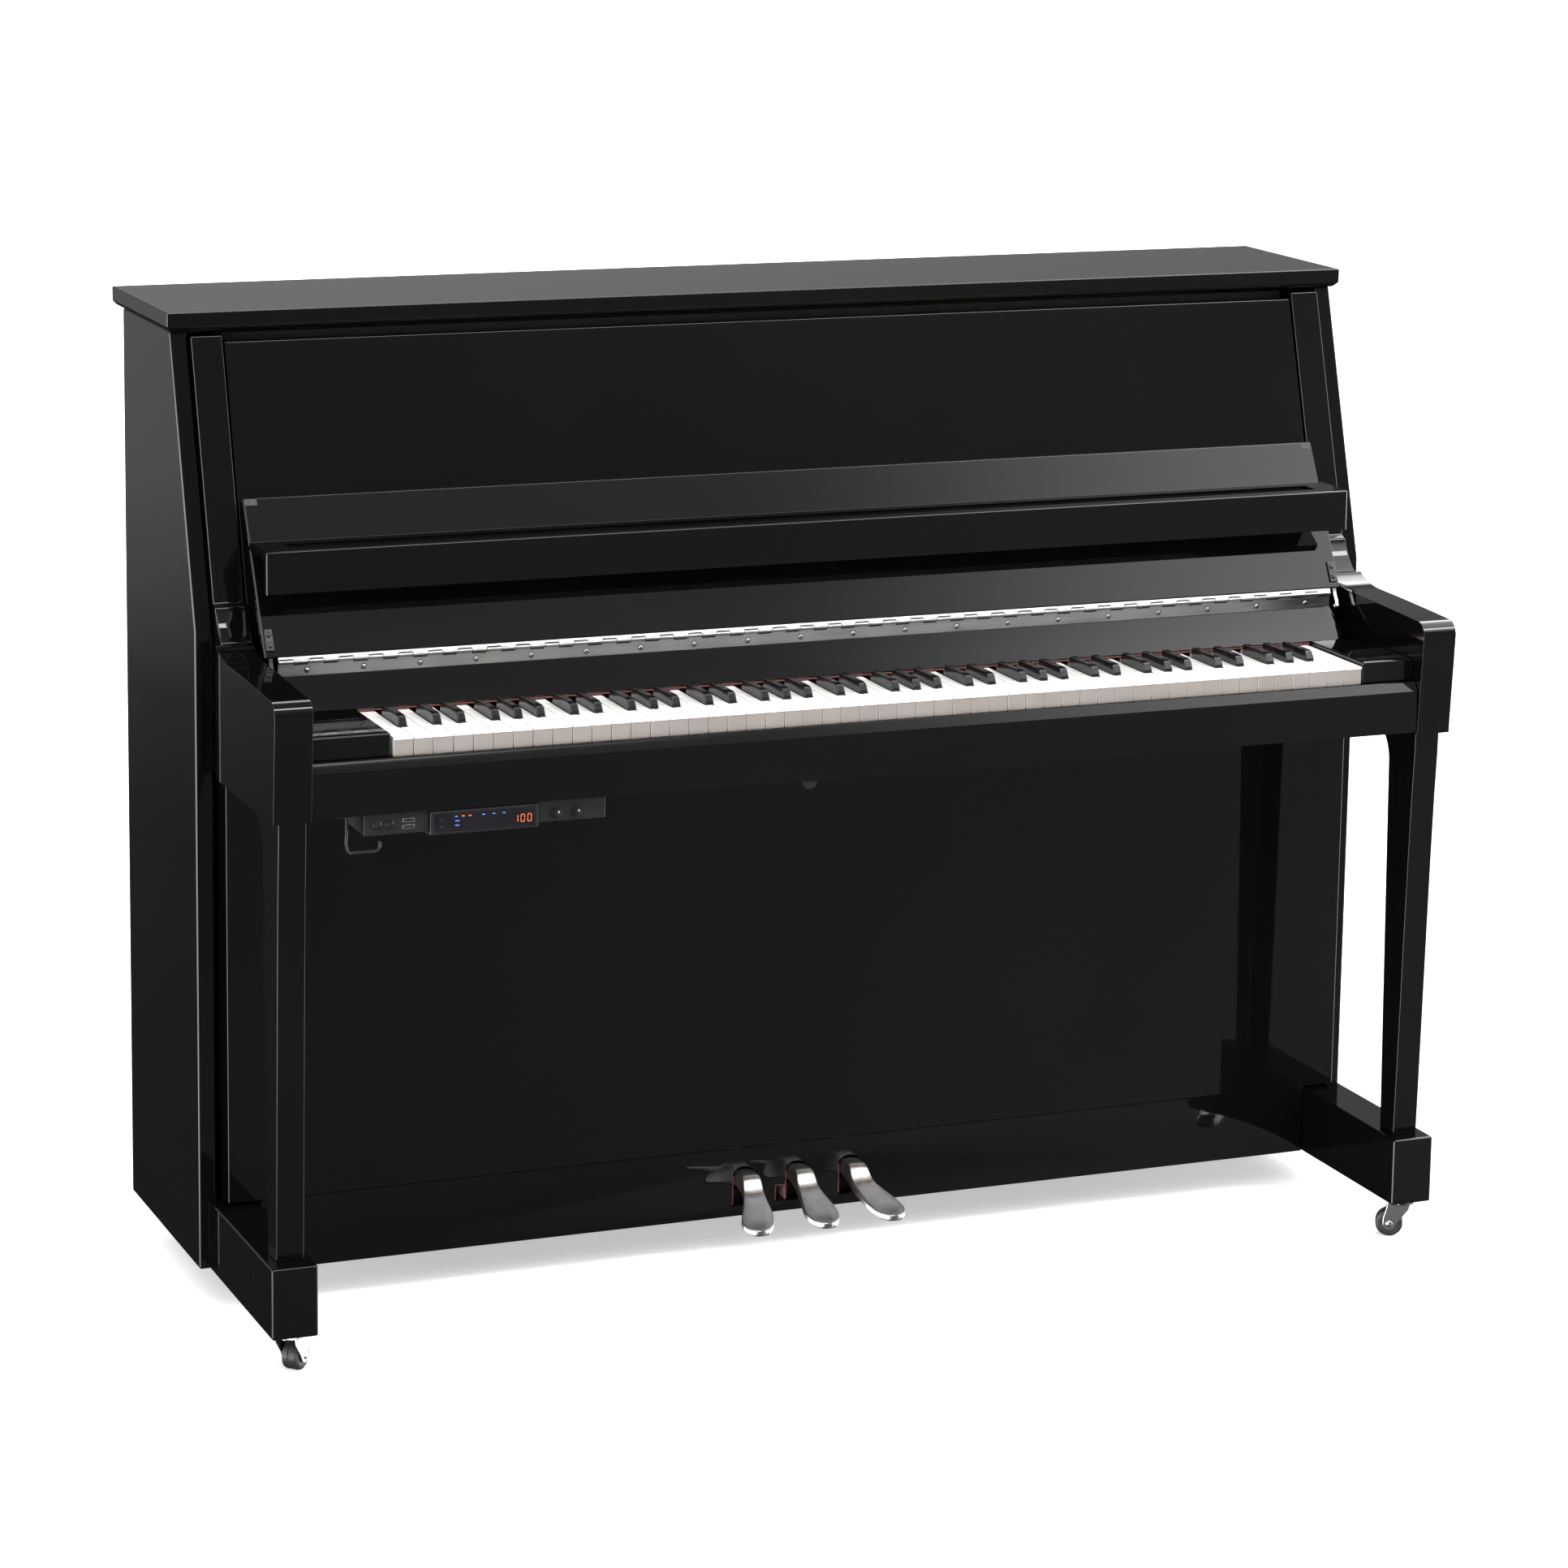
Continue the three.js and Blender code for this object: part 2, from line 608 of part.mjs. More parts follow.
// A pedal is the overlap of its outline seen from above and its outline seen from the side.
function buildPedal(name, x, splay) {
  const padY = PEDAL_END + PEDAL_PAD_HALF;
  const neckY = TOE_RAIL_FRONT - 30;
  const pad = arcPoints([splay, padY], PEDAL_PAD_HALF, 200, 340, 9);
  const plan = [
    [-PEDAL_NECK_HALF, PEDAL_PIVOT[0] + 12],
    [-PEDAL_NECK_HALF, neckY],
    [splay * 0.25 - PEDAL_NECK_HALF, neckY - 14],
    [splay * 0.75 - PEDAL_PAD_HALF + 4, padY + 16],
    ...pad,
    [splay * 0.75 + PEDAL_PAD_HALF - 4, padY + 16],
    [splay * 0.25 + PEDAL_NECK_HALF, neckY - 14],
    [PEDAL_NECK_HALF, neckY],
    [PEDAL_NECK_HALF, PEDAL_PIVOT[0] + 12],
  ];
  const side = [
    [PEDAL_PIVOT[0] + 12, 80],
    [PEDAL_PIVOT[0] + 12, 104],
    [TOE_RAIL_BACK, 104],
    [TOE_RAIL_FRONT - 12, 106.6],
    [TOE_RAIL_FRONT - 24, 106.4],
    [TOE_RAIL_FRONT - 30, 103],
    [TOE_RAIL_FRONT - 40, 91.5],
    [TOE_RAIL_FRONT - 54, 85],
    [padY, 71.5],
    [PEDAL_END - 4, 67.5],
    [PEDAL_END - 4, 60],
    [padY, 63.5],
    [TOE_RAIL_FRONT - 54, 72.5],
    [TOE_RAIL_FRONT - 28, 80.5],
    [TOE_RAIL_FRONT, 86.5],
    [TOE_RAIL_BACK, 88],
  ];
  const lever = common(extrudeUp(plan, 40, 130), extrudeAlongX(side, -60, 60));
  const mesh = part(name, lever, CHROME);
  mesh.position.x = x;
}

function buildPedals() {
  ['pedal_left', 'pedal_middle', 'pedal_right'].forEach((name, i) => {
    buildPedal(name, PEDAL_X[i], PEDAL_SPLAY[i]);
  });
}

// ---------- casters ----------

// A fork in its own frame: the swivel axis is Z through the origin, and the wheel trails along +X.
function buildCaster({ name, x, y, turn }) {
  const frame = new THREE.Group();
  frame.position.set(x, y, 0);
  frame.rotation.z = THREE.MathUtils.degToRad(turn);
  body.add(frame);
  const top = CASE_BOTTOM - GAP;
  const inside = WHEEL_WIDTH / 2 + 1;
  const plate = 2;
  const crown = block([-16, 17], [-inside - plate, inside + plate], [top - 4, top]);
  const cheekOutline = [
    [-11, top - 2],
    [CASTER_TRAIL - 7, WHEEL_RADIUS - 3],
    [CASTER_TRAIL - 2, WHEEL_RADIUS - 7],
    [CASTER_TRAIL + 3, WHEEL_RADIUS - 7],
    [CASTER_TRAIL + 7, WHEEL_RADIUS - 2],
    [15, top - 2],
  ];
  const cheek = (from) => {
    const shape = new THREE.Shape(cheekOutline.map(([u, v]) => new THREE.Vector2(u, v)));
    const geometry = new THREE.ExtrudeGeometry(shape, { depth: plate, bevelEnabled: false });
    geometry.rotateX(Math.PI / 2);
    geometry.translate(0, from + plate, 0);
    return geometry;
  };
  const axle = rod(2.5, 2 * (inside + plate) + 3, 'y', 12);
  axle.translate(CASTER_TRAIL, 0, WHEEL_RADIUS);
  const fork = join(crown, cheek(inside), cheek(-inside - plate), axle);
  part(`caster_fork_${name}`, fork, CHROME, frame);

  const half = WHEEL_WIDTH / 2;
  const section = [
    [2.9, -half],
    [WHEEL_RADIUS - 3, -half],
    [WHEEL_RADIUS, -half + 3],
    [WHEEL_RADIUS, half - 3],
    [WHEEL_RADIUS - 3, half],
    [2.9, half],
    [2.9, -half],
  ];
  const wheel = new THREE.LatheGeometry(section.map(([r, v]) => new THREE.Vector2(r, v)), 28);
  const mesh = part(`caster_wheel_${name}`, wheel, RUBBER, frame);
  mesh.position.set(CASTER_TRAIL, 0, WHEEL_RADIUS);
}

// ---------- practice unit under the key bed ----------

const UNIT_TOP = BED_BOTTOM - GAP;
const UNIT_FRONT = -575;
const KNOB_X = [-407, -383];
const KNOB_Z = 632;

function buildControlUnit() {
  const jackBox = block([-633, -556], [UNIT_FRONT, -500], [621, UNIT_TOP]);
  const display = block([-558, -428], [UNIT_FRONT - 4, -500], [617, UNIT_TOP]);
  const knobBox = block([-430, -348], [UNIT_FRONT, -500], [621, UNIT_TOP]);
  part('control_unit', join(jackBox, display, knobBox), PLASTIC);
  ['volume_knob', 'brightness_knob'].forEach((name, i) => {
    const knob = new THREE.CylinderGeometry(5, 5.6, 9, 20);
    const mesh = part(name, knob, PLASTIC);
    mesh.position.set(KNOB_X[i], UNIT_FRONT - 4.5 - GAP, KNOB_Z);
  });
}

function buildHeadphoneHanger() {
  const plate = block([-664, -636], [-572, -540], [UNIT_TOP - 3, UNIT_TOP]);
  const wire = (x0, x1, z0, z1) => block([x0, x1], [-560, -556], [z0, z1]);
  const drop = wire(-650, -646, 600, UNIT_TOP - 2);
  const run = wire(-650, -608, 598, 602);
  const lip = wire(-612, -608, 600, 612);
  part('headphone_hanger', join(plate, drop, run, lip), CHROME);
}

// ---------- inside ----------

function buildBackFrame() {
  const depth = [FRAME_FRONT, FRAME_BACK];
  const width = [-SIDE_INNER + 1, SIDE_INNER - 1];
  const bottom = CASE_BOTTOM + 24 + GAP;
  const pinBlock = block(width, depth, [1010, 1140]);
  const sill = block(width, depth, [bottom, 170]);
  const posts = POST_CENTRES.map((x) => block([x - POST_WIDTH / 2, x + POST_WIDTH / 2], depth, [bottom, 1020]));
  part('back_frame', join(pinBlock, sill, ...posts), FRAME_WOOD);
  part('soundboard', block([-725, 725], [-66, -56], [110, 1000]), SPRUCE);
}

function buildIronPlate() {
  const slab = block([-722, 722], [-92, -76], [105, 1130]);
  const edges = [-700, ...PLATE_STRUTS, 700];
  const windows = [];
  for (let i = 0; i + 1 < edges.length; i += 1) {
    windows.push(block([edges[i] + 18, edges[i + 1] - 18], [-110, -60], [270, 920]));
  }
  part('iron_plate', cut(slab, ...windows), GOLD_IRON);
  part('strings', block([-660, 660], [-100.5, -99.5], [180, 1090]), STEEL);
}

function buildAction() {
  const rail = block([-672, 672], [-238, -212], [880, 905]);
  const brackets = [-672, 662].map((x) => block([x, x + 10], [-217, -195], [BED_TOP + GAP, 1075]));
  part('action_frame', join(rail, ...brackets), STEEL);
  const hammer = [
    [-215, 960],
    [-200, 960],
    [-200, 1003],
    [-150, 1003],
    [-150, 1018],
    [-215, 1018],
  ];
  part('hammer_rail', extrudeAlongX(hammer, -655, 655), FELT);
  part('damper_rail', block([-655, 655], [-112, -101], [905, 945]), FELT);
  part('muffler_rail', block([-655, 655], [-122, -115], [1045, 1085]), FELT);
}

buildSides();
buildPilasters();
buildUpperPanel();
buildArms();
buildLegs();
buildToeBlocks();
buildLowerPanel();
buildToeRail();
buildBottomBoard();
buildLid();
buildKeyBed();
buildKeySlip();
buildKeyBlocks();
buildKeys();
buildNameboard();
buildFallboardHinge();
buildFallboard();
buildPedals();
CASTER_SPOTS.forEach(buildCaster);
buildControlUnit();
buildHeadphoneHanger();
buildBackFrame();
buildIronPlate();
buildAction();

export default piano;
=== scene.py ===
import json
import math

import bmesh
import bpy
from mathutils import Matrix, Vector


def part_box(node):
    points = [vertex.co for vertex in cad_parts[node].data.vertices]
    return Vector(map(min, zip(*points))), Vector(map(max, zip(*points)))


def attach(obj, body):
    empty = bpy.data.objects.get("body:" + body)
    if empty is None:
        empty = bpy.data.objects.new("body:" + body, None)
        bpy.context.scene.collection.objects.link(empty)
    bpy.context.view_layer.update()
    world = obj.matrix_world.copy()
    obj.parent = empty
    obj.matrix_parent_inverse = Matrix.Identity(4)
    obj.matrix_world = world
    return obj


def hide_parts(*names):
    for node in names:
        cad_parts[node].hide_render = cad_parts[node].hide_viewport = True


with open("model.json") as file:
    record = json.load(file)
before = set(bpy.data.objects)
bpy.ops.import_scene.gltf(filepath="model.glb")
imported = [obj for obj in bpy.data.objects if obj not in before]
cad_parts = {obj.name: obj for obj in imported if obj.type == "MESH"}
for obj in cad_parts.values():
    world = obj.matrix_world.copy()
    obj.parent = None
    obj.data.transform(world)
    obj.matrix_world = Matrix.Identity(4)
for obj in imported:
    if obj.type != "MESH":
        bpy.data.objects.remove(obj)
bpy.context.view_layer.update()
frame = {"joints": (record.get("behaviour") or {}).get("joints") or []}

# ---------------------------------------------------------------- places
# Millimetres from here on: x to the player's right, y from the back edge of the sides
# (the front is negative), z from the floor. P() turns them into the row frame in metres.
BACK_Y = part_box("side_left")[1].y


def P(x, y, z):
    return Vector((x / 1000, BACK_Y + y / 1000, z / 1000))


def mm_box(node):
    """The low and the high corner of a CAD node, in the millimetres of this script."""
    lo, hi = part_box(node)
    return (
        (lo.x * 1000, (lo.y - BACK_Y) * 1000, lo.z * 1000),
        (hi.x * 1000, (hi.y - BACK_Y) * 1000, hi.z * 1000),
    )


# The open fallboard leans back on its hinge, and the ledge hangs level from it.
LEAN = math.radians(27.5)
HINGE_Y, HINGE_Z = -387.0, 784.0
BOARD = Matrix.Translation(P(0, HINGE_Y, HINGE_Z)) @ Matrix.Rotation(-LEAN, 4, "X")
LEDGE = BOARD @ Matrix.Translation((0, -0.0055, 0.1375)) @ Matrix.Rotation(LEAN, 4, "X")
WORLD = Matrix.Translation(P(0, 0, 0))


# ---------------------------------------------------------------- materials
def new_material(name):
    m = bpy.data.materials.new(name)
    m.use_nodes = True
    nt = m.node_tree
    bsdf = nt.nodes["Principled BSDF"]
    return m, nt, bsdf


def coords(nt, scale=(1, 1, 1)):
    c = nt.nodes.new("ShaderNodeTexCoord")
    mp = nt.nodes.new("ShaderNodeMapping")
    mp.inputs["Scale"].default_value = scale
    nt.links.new(c.outputs["Object"], mp.inputs["Vector"])
    return mp.outputs["Vector"]


def noise(nt, vec, scale, detail=3, rough=0.5):
    n = nt.nodes.new("ShaderNodeTexNoise")
    n.inputs["Scale"].default_value = scale
    n.inputs["Detail"].default_value = detail
    n.inputs["Roughness"].default_value = rough
    nt.links.new(vec, n.inputs["Vector"])
    return n.outputs["Fac"]


def spread(nt, fac, lo, hi, f0=0.3, f1=0.7):
    r = nt.nodes.new("ShaderNodeMapRange")
    r.inputs["From Min"].default_value = f0
    r.inputs["From Max"].default_value = f1
    r.inputs["To Min"].default_value = lo
    r.inputs["To Max"].default_value = hi
    nt.links.new(fac, r.inputs["Value"])
    return r.outputs["Result"]


def two_tone(nt, fac, a, b, f0=0.3, f1=0.7):
    r = nt.nodes.new("ShaderNodeValToRGB")
    r.color_ramp.elements[0].position = f0
    r.color_ramp.elements[0].color = (*a, 1)
    r.color_ramp.elements[1].position = f1
    r.color_ramp.elements[1].color = (*b, 1)
    nt.links.new(fac, r.inputs["Fac"])
    return r.outputs["Color"]


def bump(nt, fac, bsdf, strength, distance):
    b = nt.nodes.new("ShaderNodeBump")
    b.inputs["Strength"].default_value = strength
    b.inputs["Distance"].default_value = distance
    nt.links.new(fac, b.inputs["Height"])
    nt.links.new(b.outputs["Normal"], bsdf.inputs["Normal"])


def surface(name, a, b, rough, metal=0.0, scale=40, stretch=(1, 1, 1), detail=3,
            bump_strength=0.0, bump_scale=None, bump_distance=0.0005, specular=0.5, coat=0.0, sheen=0.0):
    """A procedural finish: two close tones, a roughness that wanders, and a fine relief."""
    m, nt, bsdf = new_material(name)
    vec = coords(nt, stretch)
    n = noise(nt, vec, scale, detail)
    nt.links.new(two_tone(nt, n, a, b), bsdf.inputs["Base Color"])
    nt.links.new(spread(nt, noise(nt, vec, scale * 1.7, 2), rough[0], rough[1]), bsdf.inputs["Roughness"])
    bsdf.inputs["Metallic"].default_value = metal
    bsdf.inputs["Specular IOR Level"].default_value = specular
    bsdf.inputs["Coat Weight"].default_value = coat
    bsdf.inputs["Coat Roughness"].default_value = 0.03
    bsdf.inputs["Sheen Weight"].default_value = sheen
    if bump_strength:
        bump(nt, noise(nt, vec, bump_scale or scale * 3, 4, 0.6), bsdf, bump_strength, bump_distance)
    return m


def wood(name, light, dark, along, rough=(0.4, 0.6), coat=0.0):
    """Wood with its grain along one axis."""
    m, nt, bsdf = new_material(name)
    stretch = {"x": (0.08, 1, 1), "y": (1, 0.08, 1), "z": (1, 1, 0.08)}[along]
    vec = coords(nt, stretch)
    n = noise(nt, vec, 60, 6, 0.65)
    w = nt.nodes.new("ShaderNodeTexWave")
    w.wave_type = "BANDS"
    w.bands_direction = "DIAGONAL"
    w.inputs["Scale"].default_value = 22
    w.inputs["Distortion"].default_value = 6
    w.inputs["Detail"].default_value = 3
    nt.links.new(vec, w.inputs["Vector"])
    mix = nt.nodes.new("ShaderNodeMath")
    mix.operation = "MULTIPLY_ADD"
    nt.links.new(w.outputs["Fac"], mix.inputs[0])
    mix.inputs[1].default_value = 0.45
    nt.links.new(n, mix.inputs[2])
    nt.links.new(two_tone(nt, mix.outputs[0], light, dark, 0.4, 0.95), bsdf.inputs["Base Color"])
    nt.links.new(spread(nt, n, rough[0], rough[1]), bsdf.inputs["Roughness"])
    bsdf.inputs["Coat Weight"].default_value = coat
    bump(nt, mix.outputs[0], bsdf, 0.25, 0.0004)
    return m


def glowing(name, colour, strength):
    m, nt, bsdf = new_material(name)
    vec = coords(nt)
    nt.links.new(two_tone(nt, noise(nt, vec, 300), colour, [c * 0.8 for c in colour]),
                 bsdf.inputs["Base Color"])
    bsdf.inputs["Emission Color"].default_value = (*colour, 1)
    bsdf.inputs["Emission Strength"].default_value = strength
    bsdf.inputs["Roughness"].default_value = 0.4
    return m


MAT = {
    "ebony": surface("ebony_polish", (0.0014, 0.0014, 0.0015), (0.0022, 0.0022, 0.0023), (0.03, 0.055),
                     scale=3, bump_strength=0.004, bump_scale=7, bump_distance=0.002, specular=0.42),
    "white": surface("key_top", (0.72, 0.71, 0.69), (0.76, 0.75, 0.73), (0.2, 0.3), scale=14,
                     bump_strength=0.02, bump_scale=400, bump_distance=0.0002),
    # A darker copy of the key white: painted shade for the fronts of the white keys.
    "white_front_shaded": surface("key_front", (0.2, 0.178, 0.166), (0.225, 0.202, 0.188), (0.3, 0.42), scale=20,
                           bump_strength=0.03, bump_scale=300, bump_distance=0.0002),
    "black_key": surface("key_sharp", (0.003, 0.003, 0.003), (0.006, 0.006, 0.006), (0.1, 0.18), scale=180,
                         stretch=(1, 0.12, 1), bump_strength=0.02, bump_scale=700, bump_distance=0.0001),
    "chrome": surface("chrome", (0.72, 0.725, 0.73), (0.8, 0.8, 0.805), (0.1, 0.2), metal=1, scale=60,
                      bump_strength=0.015, bump_scale=500, bump_distance=0.0002),
    "satin": surface("hinge_metal", (0.48, 0.48, 0.47), (0.56, 0.56, 0.55), (0.3, 0.42), metal=1, scale=260,
                     stretch=(0.03, 1, 1), bump_strength=0.02, bump_scale=300, bump_distance=0.0001),
    "pedal": surface("pedal_metal", (0.46, 0.46, 0.46), (0.52, 0.52, 0.52), (0.3, 0.38), metal=1, scale=80,
                     bump_strength=0.02, bump_scale=500, bump_distance=0.0001),
    "screw": surface("screw_metal", (0.42, 0.42, 0.42), (0.6, 0.6, 0.6), (0.2, 0.35), metal=1, scale=500),
    "dark_metal": surface("dark_metal", (0.03, 0.03, 0.032), (0.05, 0.05, 0.052), (0.25, 0.4), metal=0.6,
                          scale=200),
    "rubber": surface("tread", (0.012, 0.012, 0.012), (0.026, 0.026, 0.026), (0.35, 0.6), scale=120,
                      bump_strength=0.15, bump_scale=500, bump_distance=0.0003),
    "plastic": surface("unit_plastic", (0.006, 0.006, 0.007), (0.011, 0.011, 0.012), (0.32, 0.46),
                       scale=200, bump_strength=0.15, bump_scale=1500, bump_distance=0.0002),
    "plastic_gloss": surface("unit_window", (0.004, 0.004, 0.006), (0.008, 0.008, 0.01), (0.06, 0.12),
                             scale=40, bump_strength=0.01, bump_scale=60),
    # Near black, used as painted shade in place of the shade inside holes, slots, slits and gaps.
    "hole": surface("dark_inside", (0.002, 0.002, 0.002), (0.004, 0.004, 0.004), (0.7, 0.9), scale=90),
    "red_felt": surface("red_felt", (0.07, 0.003, 0.003), (0.17, 0.008, 0.007), (0.9, 1.0), scale=500,
                        bump_strength=0.9, bump_scale=1600, bump_distance=0.0006, sheen=0.4),
    "felt": surface("wool_felt", (0.62, 0.6, 0.54), (0.76, 0.74, 0.68), (0.9, 1.0), scale=300,
                    bump_strength=0.8, bump_scale=1500, bump_distance=0.0006, sheen=0.4),
    "bronze": surface("bronzed_iron", (0.33, 0.2, 0.06), (0.48, 0.31, 0.11), (0.28, 0.45), metal=0.75,
                      scale=60, bump_strength=0.3, bump_scale=260, bump_distance=0.0006),
    "steel": surface("drawn_steel", (0.5, 0.5, 0.5), (0.66, 0.66, 0.66), (0.2, 0.35), metal=1, scale=600),
    "copper": surface("copper_winding", (0.5, 0.2, 0.09), (0.66, 0.3, 0.15), (0.25, 0.4), metal=1,
                      scale=700, stretch=(1, 1, 6), bump_strength=0.3, bump_scale=1800, bump_distance=0.0002),
    "spruce": wood("spruce", (0.62, 0.4, 0.19), (0.42, 0.23, 0.09), "z", coat=0.2),
    "post": wood("back_posts", (0.34, 0.2, 0.095), (0.2, 0.105, 0.045), "z"),
    "rail_wood": wood("rails", (0.36, 0.22, 0.11), (0.22, 0.12, 0.05), "x"),
    "dark_stain": wood("dark_stain", (0.03, 0.022, 0.018), (0.014, 0.01, 0.009), "x"),
    "stick_wood": wood("key_sticks", (0.66, 0.46, 0.25), (0.48, 0.3, 0.14), "y"),
    "red_light": glowing("orange_light", (1.0, 0.16, 0.03), 1.1),
    "blue_light": glowing("blue_light", (0.08, 0.2, 1.0), 0.8),
}


# ---------------------------------------------------------------- making pieces
def finish_piece(obj, body, bevel=0.0, segments=3, angle=30):
    """Rounds or splits the edges sharper than angle and fixes the piece to its body."""
    bpy.context.scene.collection.objects.link(obj)
    for poly in obj.data.polygons:
        poly.use_smooth = True
    if bevel:
        mod = obj.modifiers.new("edges", "BEVEL")
        mod.width = bevel / 1000
        mod.segments = segments
        mod.limit_method = "ANGLE"
        mod.angle_limit = math.radians(angle)
        mod.harden_normals = True
        mod.use_clamp_overlap = True
    else:
        mod = obj.modifiers.new("split", "EDGE_SPLIT")
        mod.split_angle = math.radians(angle)
    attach(obj, body)
    return obj


def build(name, parts, body, place=WORLD, slot=None, bevel=0.0, segments=3, angle=30):
    """parts is a list of (points in mm, faces, material name), joined into one mesh at place."""
    bm = bmesh.new()
    names = []
    for points, faces, material in parts:
        if material not in names:
            names.append(material)
        made = [bm.verts.new(place @ (Vector(p) / 1000)) for p in points]
        for f in faces:
            face = bm.faces.new([made[i] for i in f])
            face.material_index = names.index(material)
    bmesh.ops.recalc_face_normals(bm, faces=bm.faces)
    mesh = bpy.data.meshes.new(name)
    bm.to_mesh(mesh)
    bm.free()
    for n in names:
        mesh.materials.append(MAT[n])
    return finish_piece(bpy.data.objects.new(name, mesh), body, bevel, segments, angle)


def loft(sections, material, closed_ends=True):
    """Rings of points, all with the same count, joined into one closed skin."""
    n = len(sections[0])
    points = [p for ring in sections for p in ring]
    faces = []
    for k in range(len(sections) - 1):
        for i in range(n):
            j = (i + 1) % n
            faces.append([k * n + i, k * n + j, (k + 1) * n + j, (k + 1) * n + i])
    if closed_ends:
        faces.append(list(range(n)))
        faces.append([(len(sections) - 1) * n + i for i in range(n)][::-1])
    return points, faces, material


def prism_x(outline, x0, x1, material="ebony"):
    return loft([[(x, y, z) for y, z in outline] for x in (x0, x1)], material)


def prism_y(outline, y0, y1, material="ebony"):
    return loft([[(x, y, z) for x, z in outline] for y in (y0, y1)], material)


def prism_z(outline, z0, z1, material="ebony"):
    return loft([[(x, y, z) for x, y in outline] for z in (z0, z1)], material)


def brick(lo, hi, material="ebony"):
    return prism_z([(lo[0], lo[1]), (hi[0], lo[1]), (hi[0], hi[1]), (lo[0], hi[1])], lo[2], hi[2], material)


def ring(centre, radius, axis, sides=20, start=0.0):
    out = []
    for i in range(sides):
        a = start + 2 * math.pi * i / sides
        c, s = radius * math.cos(a), radius * math.sin(a)
        offset = {"x": (0, c, s), "y": (c, 0, s), "z": (c, s, 0)}[axis]
        out.append(tuple(centre[k] + offset[k] for k in range(3)))
    return out


def turned(profile, centre, axis, material, sides=24):
    """A body of revolution: profile is (distance along the axis, radius) from one end to the other."""
    k = "xyz".index(axis)
    rings = []
    for along, radius in profile:
        c = list(centre)
        c[k] += along
        rings.append(ring(c, max(radius, 0.01), axis, sides))
    return loft(rings, material)


def arc(cx, cy, r, a0, a1, n):
    """n steps of a circle round (cx, cy), from a0 to a1 degrees."""
    angles = [math.radians(a0 + (a1 - a0) * i / n) for i in range(n + 1)]
    return [(cx + r * math.cos(a), cy + r * math.sin(a)) for a in angles]


def curve3(a, b, c, n):
    """n steps of a curve from a to c, drawn towards b."""
    out = []
    for i in range(n + 1):
        t = i / n
        u, v, w = (1 - t) ** 2, 2 * t * (1 - t), t * t
        out.append((u * a[0] + v * b[0] + w * c[0], u * a[1] + v * b[1] + w * c[1]))
    return out


def plate_with_holes(name, outlines, plane, lo, hi, material, body, bevel=1.5):
    """A flat plate cut from one outline and its holes, with rounded edges. plane is "xz" or "yz"."""
    curve = bpy.data.curves.new(name, "CURVE")
    curve.dimensions = "2D"
    curve.fill_mode = "BOTH"
    for line in outlines:
        s = curve.splines.new("POLY")
        s.points.add(len(line) - 1)
        for point, (u, v) in zip(s.points, line):
            point.co = (u / 1000, v / 1000, 0, 1)
        s.use_cyclic_u = True
    curve.extrude = (hi - lo) / 2000 - bevel / 1000
    curve.bevel_depth = bevel / 1000
    curve.bevel_resolution = 2
    curve.offset = -bevel / 1000
    tool = bpy.data.objects.new(name + "_outline", curve)
    bpy.context.scene.collection.objects.link(tool)
    bpy.context.view_layer.update()
    mesh = bpy.data.meshes.new_from_object(tool.evaluated_get(bpy.context.evaluated_depsgraph_get()))
    bpy.data.objects.remove(tool)
    bm = bmesh.new()
    bm.from_mesh(mesh)
    bmesh.ops.remove_doubles(bm, verts=bm.verts, dist=1e-6)
    middle = (lo + hi) / 2000
    if plane == "xz":
        turn = Matrix(((1, 0, 0, 0), (0, 0, -1, middle), (0, 1, 0, 0), (0, 0, 0, 1)))
    else:
        turn = Matrix(((0, 0, 1, middle), (1, 0, 0, 0), (0, 1, 0, 0), (0, 0, 0, 1)))
    bmesh.ops.transform(bm, matrix=WORLD @ turn, verts=bm.verts)
    bmesh.ops.recalc_face_normals(bm, faces=bm.faces)
    bm.to_mesh(mesh)
    bm.free()
    mesh.name = name
    mesh.materials.clear()
    mesh.materials.append(MAT[material])
    return finish_piece(bpy.data.objects.new(name, mesh), body, angle=25)


EBONY = dict(slot="ebony_polish")

# ---------------------------------------------------------------- case
SIDES = (("left", -1), ("right", 1))
CASE_TOP, CASE_TOP_FRONT, CASE_LEAN = 1139, -225, 0.3


def mirrored(x0, x1, sign):
    return sorted((sign * x0, sign * x1))


def front_at(z):
    """The leaning front of the case at height z."""
    return CASE_TOP_FRONT - CASE_LEAN * (CASE_TOP - z)


COVE = curve3((-320, 842), (-336, 790), (-400, 788), 30)
STILE_FRONT = -349.7

